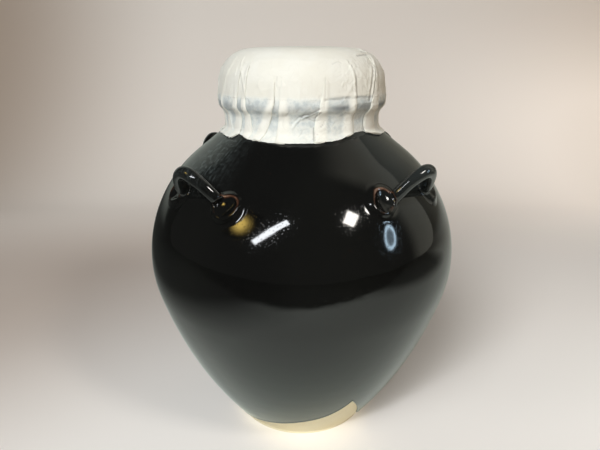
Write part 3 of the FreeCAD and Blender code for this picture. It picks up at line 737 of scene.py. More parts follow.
def glazeCalm(turns, along, height):
    # 0 near the mouth and round each lug, where the wall keeps its plain form
    fromTop, soft = glaze["calmTop"]
    calm = np.clip((jarAlong[-1] - fromTop - along) / soft, 0.0, 1.0)
    (radius, middle), (reach, soft) = glaze["lugSpot"], glaze["calmLug"]
    for lugTurn in jar["lugTurns"].values():
        apart = (turns - math.radians(lugTurn) + math.pi) % (2 * math.pi) - math.pi
        calm = calm * np.clip((np.hypot(radius * apart, height - middle) - reach) / soft, 0.0, 1.0)
    return calm


def makeGlaze():
    columns = glaze["columns"]
    turns = ringTurns(columns)
    start = glazeEdge(turns)
    total = jarAlong[-1]
    near = np.array(glaze["edgeRows"]) * mm
    farther = np.arange(near[-1] + glaze["rowStep"], total - start.min(), glaze["rowStep"])
    rise = np.concatenate([near, farther[:-1], [total - start.min()]])
    lean = np.clip(1.0 - rise / glaze["levelFrom"], 0.0, 1.0) ** 1.5
    along = np.clip(start.min() + rise[:, None] + (start - start.min()) * lean[:, None], None, total)
    above = along - start
    grow = np.sqrt(np.clip(1.0 - (1.0 - np.clip(above / glaze["edgeRoll"], 0.0, 1.0)) ** 2, 0.0, 1.0))
    bead = glaze["edgeBead"] * bell(above - glaze["beadUp"], glaze["beadWide"])
    height = onOutline(along, 0.0)[1]
    ring = glaze["ringSize"] * np.sin(2 * math.pi * height / glaze["ringPitch"] + 1.5 * np.sin(turns))
    swell = wander(turns, height, 5, 5, glaze["swell"]) - glaze["swell"]
    skin = (ring - glaze["ringSize"] + swell) * glazeCalm(turns, along, height)
    skin = skin - glaze["thickness"] * (1.0 - grow) + bead * grow
    outside = turned(*onOutline(along, skin), turns)
    # round the mouth's edge and back down inside the coat
    lip = turned(np.full((1, columns), jar["mouthRadius"]), np.full((1, columns), jar["top"] - 0.5 * mm), turns)
    depth = glaze["thickness"] + glaze["sunk"]
    back = along[::-4]
    inside = turned(*onOutline(back, -depth + 0 * back), turns)
    inside[-1] = turned(*onOutline(along[0] + 0.1 * mm, -depth + 0 * turns), turns)
    rings = np.concatenate([outside, lip, inside])
    rows, outer = rings.shape[0], outside.shape[0]
    ring = np.arange(columns)
    after, last = (ring + 1) % columns, (rows - 1) * columns
    faces = np.concatenate([gridFaces(rows, columns), np.stack([last + ring, last + after, after, ring], 1)])
    lapTurn, lapWide = glaze["lapTurn"]
    lapSide = bell(np.degrees(turns) - lapTurn, lapWide) * bell(above, glaze["lapUp"])
    thin, broken = np.zeros((2, rows, columns))
    thin[:outer] = np.maximum(bell(above, glaze["thinUp"]) * 0.7, 0.55 * lapSide)
    lipUp, lipWide = glaze["lipAt"]
    broken[:outer] = 0.5 * bell(along - (jarAlong[-1] - lipUp), lipWide)
    makePiece("glazeCoat", rings.reshape(-1, 3), faces, blackGlaze, "jar",
              ["black_glaze"], {"thin": thin.ravel(), "broken": broken.ravel()})


blackGlaze = glazeFinish()
makeGlaze()
print("glaze coat made")


# Clay body: thrown, its foot trimmed, bare inside and in a band above the foot

clay = {
    "wall": 7.0 * mm,               # with the glaze
    "floor": 10.0 * mm,
    "floorRound": 14.0 * mm,
    "recessRadius": 47.0 * mm,
    "recess": 1.6 * mm,
    "footRound": 0.8 * mm,
    "columns": 360,
    "step": 1.1 * mm,
    "trimPitch": 2.6 * mm,          # fine lines from trimming the foot
    "trimDepth": 0.035 * mm,
    "trimFrom": 6 * mm,
    "throwPitch": 11.0 * mm,        # finger ridges inside
    "throwDepth": 0.45 * mm,
    "throwFrom": 20 * mm,           # they fade out near the floor and the mouth
    "throwTo": 25 * mm,
    "throwFade": 15 * mm,
    "innerTone": 0.8,
    "innerColour": (0.50, 0.40, 0.27),
    "colour": (0.83, 0.745, 0.51),
    "paleColour": (0.87, 0.82, 0.62),
    "warmColour": (0.80, 0.66, 0.41),
    "dullColour": (0.58, 0.53, 0.38),
    "grogColour": (0.42, 0.29, 0.16),
}


def cavityRuns():
    flank, belly, side = (dict(run) for run in jarOutline[1:4])
    for run in (flank, belly, side):
        run["radius"] -= clay["wall"]
    z = clay["floor"] + clay["floorRound"]
    reach = flank["radius"] - clay["floorRound"]
    x = flank["middle"][0] + math.sqrt(reach ** 2 - (z - flank["middle"][1]) ** 2)
    lowest = math.atan2(z - flank["middle"][1], x - flank["middle"][0])
    flank["start"] = lowest
    side["end"] = math.acos((jar["mouthRadius"] - side["middle"][0]) / side["radius"])
    throat = side["middle"][1] + side["radius"] * math.sin(side["end"])
    return [
        lineRun((1.0 * mm, clay["floor"]), (x, clay["floor"])),
        arcRun((x, z), clay["floorRound"], -math.pi / 2, lowest),
        flank, belly, side,
        lineRun((jar["mouthRadius"], throat), (jar["mouthRadius"], jar["top"] - 1.2 * mm)),
    ]


def clayFinish():
    finish = Finish("buffClay")
    grain = finish.noise(2200.0, 3.0)
    across = finish.axes()[0]
    grog = finish.node("TexVoronoi", {}, {"Vector": finish.place(), "Scale": 700.0})
    tone = finish.coats(
        clay["colour"],
        (finish.ramp(finish.noise(14.0, 3.0), 0.3, 0.7), clay["paleColour"]),
        (finish.ramp(across, -0.02, 0.07, 0.0, 0.35), clay["warmColour"]),
        (finish.ramp(across, 0.0, -0.04, 0.0, 0.6), clay["dullColour"]),
        (finish.ramp(grog, 0.10, 0.02, 0.0, 0.55), clay["grogColour"]),
        (finish.mark("inner"), clay["innerColour"]))
    spiral = finish.node("TexWave", {"wave_type": "BANDS", "bands_direction": "Z"},
                         {"Vector": finish.place(), "Scale": 260.0, "Distortion": 1.5, "Detail": 2.0})
    lines = finish.bump(spiral, 0.10, 0.06 * mm)
    finish.set(BaseColor=tone, Roughness=finish.ramp(grain, 0.3, 0.7, 0.72, 0.9), SpecularIORLevel=0.3,
               Normal=finish.bump(grain, 0.35, 0.12 * mm, lines))
    return finish


def makeClay():
    skin = -glaze["thickness"]
    # foot: recess, standing ring with rounded edges, then the outside up to the mouth
    foot, soft = jar["footRadius"] + skin, clay["footRound"]
    recess, recessRadius = clay["recess"], clay["recessRadius"]
    under = lineRuns((1.0 * mm, recess), (recessRadius - soft, recess), (recessRadius, 0.0), (foot - soft, 0.0))
    under.append(arcRun((foot - soft, soft), soft, -math.pi / 2, 0.0))
    along = np.arange(soft, jarAlong[-1], clay["step"])
    outer = np.stack(onOutline(along, skin), 1)
    trim = clay["trimDepth"] * np.sin(2 * math.pi * along / clay["trimPitch"])
    outer[:, 0] += (trim - clay["trimDepth"]) * np.clip(along / clay["trimFrom"], 0.0, 1.0)
    lip = np.array([[jar["mouthRadius"] + 0.5 * mm, jar["top"] + skin],
                    [jar["mouthRadius"], jar["top"] + skin - 0.4 * mm]])
    inner = walk(cavityRuns(), clay["step"])[0][::-1]
    outline = np.concatenate([walk(under, clay["step"])[0], outer, lip, inner])
    radius, height = (np.tile(line[:, None], (1, clay["columns"])) for line in outline.T)
    first = len(outline) - len(inner)
    z = height[first:]
    ridge = np.sin(2 * math.pi * (z / clay["throwPitch"] + ringTurns(clay["columns"]) / (2 * math.pi)))
    calm = np.clip((z - clay["throwFrom"]) / clay["throwFade"], 0, 1)
    calm = calm * np.clip((jar["top"] - clay["throwTo"] - z) / clay["throwFade"], 0, 1)
    radius[first:] += clay["throwDepth"] * (ridge - 1.0) * calm
    inside = np.zeros(radius.shape)
    inside[first:] = clay["innerTone"]
    makeSpun("thrownBody", radius, height, buffClay, "jar", ["jar_body"], inside)


buffClay = clayFinish()
makeClay()
print("clay body made")


# Lugs: a rolled coil bowed out of the shoulder, each end pressed down with the thumb

lug = {
    "height": 222.0 * mm,
    "tilt": math.radians(55.5),
    "halfWidth": 20.7 * mm,
    "bowHeight": 23.4 * mm,
    "crest": 8.0 * mm,
    "crestTurn": math.radians(30.0),
    "coil": 4.9 * mm,               # half the coil's thickness
    "padDrop": 1.2 * mm,
    "padOut": 7.9 * mm,
    # how far each pressed end lies further out and further down than that, in mm
    "presses": {"lug_front_left": [(-0.6, 1.2), (0.3, 0.5)], "lug_front_right": [(0.4, -0.6), (1.3, -1.7)],
                "lug_back_right": [(-0.8, 0.9), (0.5, -0.4)], "lug_back_left": [(0.6, -1.1), (-0.3, 0.8)]},
    "backBow": {"lug_back_left": 1.9 * mm, "lug_back_right": 1.0 * mm},   # these are bowed less
    "padRadius": 9.3 * mm,
    "padHeight": 1.6 * mm,
    "padRound": 1.3 * mm,
    "padUneven": 0.6 * mm,
    "thumbWide": 8.7 * mm,          # a thumb's hollow, pressed into the end and the side of the coil
    "thumbDeep": 3.3 * mm,
    "thumbLift": 3.6 * mm,
    "ridge": 0.8 * mm,              # how round its edge is
    "melt": 1.9 * mm,               # how softly the coil runs into end and wall
    "spread": 7.0 * mm,             # and a pressed end into the wall
    "sink": 0.05 * mm,
    # the coil's unevenness, each as size and length: up and down, sideways, and in its thickness
    "sway": (0.5 * mm, 9 * mm),
    "lean": (0.4 * mm, 6 * mm),
    "lumps": (0.22 * mm, 6.5 * mm),
    "fineLumps": (0.12 * mm, 3 * mm),
    # glaze breaks on the rims of the hollows: how wide, how far off the wall, and how high up
    "rimWide": 0.75 * mm,
    "rimClear": (0.6 * mm, 1.8 * mm),
    "rimHeights": (-4 * mm, 5 * mm),
    "firstSeed": 40,
    "grid": 0.62 * mm,              # cells of the mesh, the box they fill, and passes that smooth it
    "box": ((84.0, -49.0, 195.0), (128.0, 49.0, 250.0)),
    "passes": 3,
}


def softUnion(first, second, reach):
    near = np.clip(reach - np.abs(first - second), 0.0, None) / reach
    return np.minimum(first, second) - near ** 2 * reach / 4


def ripple(spot, size, length, phase=0.0):
    return size * np.sin(spot / length + phase)


def pressPlan(name):
    # middle of each pressed end on the shoulder, and the way it faces
    places = []
    for hand, (out, drop) in zip((1, -1), lug["presses"][name]):
        rise = math.asin((lug["height"] - lug["padDrop"] - drop * mm - jar["bellyHeight"]) / jar["shoulder"])
        radius = jar["shoulderX"] + jar["shoulder"] * math.cos(rise)
        turn = hand * math.asin((lug["halfWidth"] + lug["padOut"] + out * mm) / radius)
        facing = np.array([math.cos(rise) * math.cos(turn), math.cos(rise) * math.sin(turn), math.sin(rise)])
        middle = jar["shoulderX"]
        start = np.array([middle * math.cos(turn), middle * math.sin(turn), jar["bellyHeight"]])
        places.append((start + facing * jar["shoulder"], facing))
    return places


def lugPlan(name):
    rise = lug["height"] - jar["bellyHeight"]
    shoulder = jar["shoulderX"] + math.sqrt(jar["shoulder"] ** 2 - rise ** 2)
    top = lug["bowHeight"] - lug["backBow"].get(name, 0.0) - lug["crest"]
    turn = math.pi / 2 - lug["crestTurn"]
    # the leg's arc leaves the crest's smoothly and passes through the root
    reachX, reachZ = lug["halfWidth"] - lug["crest"] * math.cos(turn), -top - lug["crest"] * math.sin(turn)
    leg = -(reachX ** 2 + reachZ ** 2) / (2 * (reachX * math.cos(turn) + reachZ * math.sin(turn)))
    return {"chord": math.sqrt(shoulder ** 2 - lug["halfWidth"] ** 2), "top": top, "turn": turn, "leg": leg,
            "middle": ((lug["crest"] - leg) * math.cos(turn), top + (lug["crest"] - leg) * math.sin(turn)),
            "presses": pressPlan(name)}


def coilField(out, side, up, plan, wave):
    out, up = out - plan["chord"], up - lug["height"]
    along = out * math.cos(lug["tilt"]) + up * math.sin(lug["tilt"])
    across = -out * math.sin(lug["tilt"]) + up * math.cos(lug["tilt"]) + ripple(side, *lug["sway"], wave[0])
    flat = np.abs(side + ripple(along, *lug["lean"], wave[1]))
    beyond = along - plan["top"]
    crest = np.abs(np.hypot(flat, beyond) - lug["crest"])
    leg = np.abs(np.hypot(flat - plan["middle"][0], along - plan["middle"][1]) - plan["leg"])
    bow = np.where(np.arctan2(beyond, flat) > plan["turn"], crest, leg)
    thick = lug["coil"] + ripple(side, *lug["lumps"], wave[2]) + ripple(along, *lug["fineLumps"])
    return np.hypot(bow, across * 1.04) - thick


def pressFields(spot, middle, facing, hand, wave):
    # distances from a pressed end and from the thumb that pressed it
    apart = [at - mid for at, mid in zip(spot, middle)]
    lift = sum(at * way for at, way in zip(apart, facing))
    away = np.sqrt(np.clip(sum(at ** 2 for at in apart) - lift ** 2, 0.0, None))
    angle = np.arctan2(apart[2], apart[1])
    uneven = lug["padUneven"] * np.sin(2.0 * angle + wave[3] + hand)
    soft = lug["padRound"]
    outer = np.clip(away - lug["padRadius"] + soft - uneven, 0.0, None)
    above = np.clip(np.abs(lift) - lug["padHeight"] + soft - 0.5 * uneven, 0.0, None)
    inner = np.maximum(away - lug["padRadius"], np.abs(lift) - lug["padHeight"]) + soft - uneven
    pad = np.hypot(outer, above) + np.minimum(inner, 0.0) - soft
    bent = uneven + lug["padUneven"] * np.sin(3.0 * angle + wave[2] + 2 * hand)
    press = np.hypot(away / (lug["thumbWide"] + bent), (lift - lug["thumbLift"]) / lug["thumbDeep"])
    return pad, (press - 1.0) * lug["thumbDeep"]


def lugFields(points, plan, wave):
    # distances from the lug's coil, ends and wall run together, from coil, ends and wall, and from the thumbs
    spot = [points[..., axis] for axis in range(3)]
    out, side, up = spot
    coil = coilField(out, side, up, plan, wave)
    wall = np.hypot(np.hypot(out, side) - jar["shoulderX"], up - jar["bellyHeight"]) - jar["shoulder"]
    ends = [pressFields(spot, *press, hand, wave) for hand, press in enumerate(plan["presses"])]
    pads, thumbs = (np.minimum(*pair) for pair in zip(*ends))
    made = softUnion(coil, softUnion(pads, wall + lug["sink"], lug["spread"]), lug["melt"])
    return made, np.minimum(coil, pads), wall, thumbs


def lugField(points, plan, wave):
    made, nearest, wall, thumbs = lugFields(points, plan, wave)
    made = np.maximum(-softUnion(-made, thumbs, lug["ridge"]), nearest - 1.05 * lug["spread"])
    return np.maximum(made, -wall - 1.0 * mm)


def skinOf(field, low, step):
    # quads round every grid edge that the surface crosses, one point in each crossed cell
    shape = tuple(size - 1 for size in field.shape)
    total = np.zeros((int(np.prod(shape)), 3))
    count = np.zeros(int(np.prod(shape)))
    quads = []
    for axis in range(3):
        here = np.take(field, range(field.shape[axis] - 1), axis)
        there = np.take(field, range(1, field.shape[axis]), axis)
        crossed = (here < 0) != (there < 0)
        spots = np.argwhere(crossed)
        start, end = here[crossed], there[crossed]
        points = spots.astype(float)
        points[:, axis] += start / (start - end)
        quad = []
        for back, down in ((0, 0), (1, 0), (1, 1), (0, 1)):
            cell = spots.copy()
            cell[:, (axis + 1) % 3] -= back
            cell[:, (axis + 2) % 3] -= down
            index = np.ravel_multi_index(cell.T, shape)
            for part in range(3):
                total[:, part] += np.bincount(index, points[:, part], len(count))
            count += np.bincount(index, minlength=len(count))
            quad.append(index)
        quad = np.stack(quad, 1)
        quads.append(np.where((start < 0)[:, None], quad, quad[:, ::-1]))
    used = np.flatnonzero(count)
    number = np.zeros(len(count), int)
    number[used] = np.arange(len(used))
    return low + step * total[used] / count[used, None], number[np.concatenate(quads)]


def lugSkin(plan, wave):
    step = lug["grid"]
    low, high = (np.array(corner) * mm for corner in lug["box"])
    sides = [np.arange(a, b, step) for a, b in zip(low, high)]
    grid = np.stack(np.meshgrid(*sides, indexing="ij"), -1)
    points, quads = skinOf(lugField(grid, plan, wave), low, step)
    small = 0.02 * mm
    for _ in range(lug["passes"]):
        level = lugField(points, plan, wave)
        slope = np.stack([lugField(points + small * axis, plan, wave) - level for axis in np.eye(3)], 1) / small
        steep = np.clip((slope ** 2).sum(1), 0.25, None)[:, None]
        points = points - np.clip(level, -step, step)[:, None] * slope / steep
    return points, quads


def makeLug(name, turn, seed):
    plan = lugPlan(name)
    wave = np.random.default_rng(seed).uniform(0, 6.28, 4)
    points, quads = lugSkin(plan, wave)
    made, _, wall, thumbs = lugFields(points, plan, wave)
    low, high = lug["rimHeights"]
    higher = smoothStep(points[:, 2], lug["height"] + low, lug["height"] + high)
    broken = bell(thumbs + made, lug["rimWide"]) * smoothStep(wall, *lug["rimClear"]) * (0.45 + 0.55 * higher)
    angle = math.radians(turn)
    outward = np.array([math.sin(angle), -math.cos(angle)])
    sideways = np.array([math.cos(angle), math.sin(angle)])
    placed = np.concatenate([points[:, :1] * outward + points[:, 1:2] * sideways, points[:, 2:]], 1)
    first, *others = name.split("_")
    makePiece(first + "".join(word.capitalize() for word in others) + "Glazed", placed, quads, blackGlaze,
              "jar", [name], {"thin": 0.0 * broken, "broken": broken})


for count, (name, turn) in enumerate(jar["lugTurns"].items()):
    makeLug(name, turn, lug["firstSeed"] + count)
print("lugs made")


# Wooden lid: turned from one block, with a plug that drops into the mouth

lid = {
    "seatGap": 0.3 * mm,
    "height": 35.9 * mm,
    "taper": math.radians(6.0),
    "corner": 26.5 * mm,
    "crown": 620.0 * mm,
    "plugDepth": 10.0 * mm,
    "plugClearance": 0.8 * mm,
    "chamfer": 1.2 * mm,
    "edgeRound": 0.8 * mm,
    "columns": 320,
    "step": 0.8 * mm,
    "toolPitch": 1.7 * mm,
    "toolDepth": 0.03 * mm,
    "paleWood": (0.66, 0.47, 0.27),
    "darkWood": (0.42, 0.25, 0.12),
    "fibreColour": (0.74, 0.56, 0.35),
    "heart": (0.0, 0.21, -0.05),    # where the middle of the tree's rings lies
}


def domeRuns(skin):
    # side, corner and crown of the lid, moved outwards by skin, from its lower edge to the axis
    edge = jar["neckRadius"] + jar["rimBead"]
    bottom = jar["top"] + lid["seatGap"]
    lean = lid["taper"]
    crownZ = bottom + lid["height"] - lid["crown"]
    # middle of the corner's arc: inside the leaning side, and touching the crown from inside
    startX = edge - lid["corner"] * math.cos(lean)
    startZ = bottom - lid["corner"] * math.sin(lean) - crownZ
    along = startZ * math.cos(lean) - startX * math.sin(lean)
    reach = lid["crown"] - lid["corner"]
    climb = -along + math.sqrt(along ** 2 - startX ** 2 - startZ ** 2 + reach ** 2)
    middle = (startX - climb * math.sin(lean), startZ + crownZ + climb * math.cos(lean))
    meet = math.atan2(middle[1] - crownZ, middle[0])
    outX, outZ = skin * math.cos(lean), skin * math.sin(lean)
    corner = lid["corner"] + skin
    cornerStart = (middle[0] + corner * math.cos(lean), middle[1] + corner * math.sin(lean))
    return [
        lineRun((edge + outX, bottom + outZ), cornerStart),
        arcRun(middle, corner, lean, meet),
        arcRun((0.0, crownZ), lid["crown"] + skin, meet, math.pi / 2 - 1e-4),
    ]


def woodFinish():
    finish = Finish("paleWood")
    spot = finish.node("Mapping", {}, {"Vector": finish.place(), "Location": lid["heart"]})
    rings = finish.node("TexWave", {"wave_type": "RINGS", "rings_direction": "X", "wave_profile": "SAW"},
                        {"Vector": spot, "Scale": 42.0, "Distortion": 2.2, "Detail": 2.0, "Detail Scale": 0.7})
    fibre = finish.noise(240.0, 4.0, (0.05, 1.0, 1.0))
    pores = finish.noise(900.0, 2.0, (0.06, 1.0, 1.0))
    tone = finish.coats(
        lid["paleWood"],
        (finish.ramp(rings, 0.35, 1.0, 0.0, 0.75), lid["darkWood"]),
        (finish.ramp(fibre, 0.35, 0.75, 0.0, 0.3), lid["fibreColour"]),
        (finish.ramp(pores, 0.62, 0.75, 0.0, 0.35), lid["darkWood"]))
    finish.set(BaseColor=tone, Roughness=finish.ramp(fibre, 0.3, 0.7, 0.5, 0.68), SpecularIORLevel=0.35,
               Normal=finish.bump(fibre, 0.25, 0.08 * mm))
    return finish


def makeLid():
    bottom = jar["top"] + lid["seatGap"]
    plug = jar["mouthRadius"] - lid["plugClearance"]
    low = bottom - lid["plugDepth"]
    soft, cut = lid["edgeRound"], lid["chamfer"]
    edge = jar["neckRadius"] + jar["rimBead"]
    dome = domeRuns(0.0)
    dome[0] = lineRun((edge - soft * math.sin(lid["taper"]), bottom + soft), dome[0]["last"])
    runs = lineRuns((1.0 * mm, low), (plug - cut, low), (plug, low + cut), (plug, bottom),
                    (edge - soft, bottom))
    runs.append(arcRun((edge - soft - 0.1 * mm, bottom + soft), soft, -math.pi / 2, 0.0))
    outline, facing, along = (line[:-1] for line in walk(runs + dome, lid["step"]))
    tool = lid["toolDepth"] * (np.sin(2 * math.pi * along / lid["toolPitch"]) - 1.0)
    outline = outline + facing * tool[:, None]
    radius, height = (np.tile(line[:, None], (1, lid["columns"])) for line in outline.T)
    makeSpun("turnedLid", radius, height, paleWood, "lid", ["wooden_lid"])


paleWood = woodFinish()
makeLid()
print("lid made")


# Paper: one round sheet pasted over lid and neck, its fullness laid in flat pleats.
# It is cut through at the joint between lid and rim, so it is made as a cap and a skirt.

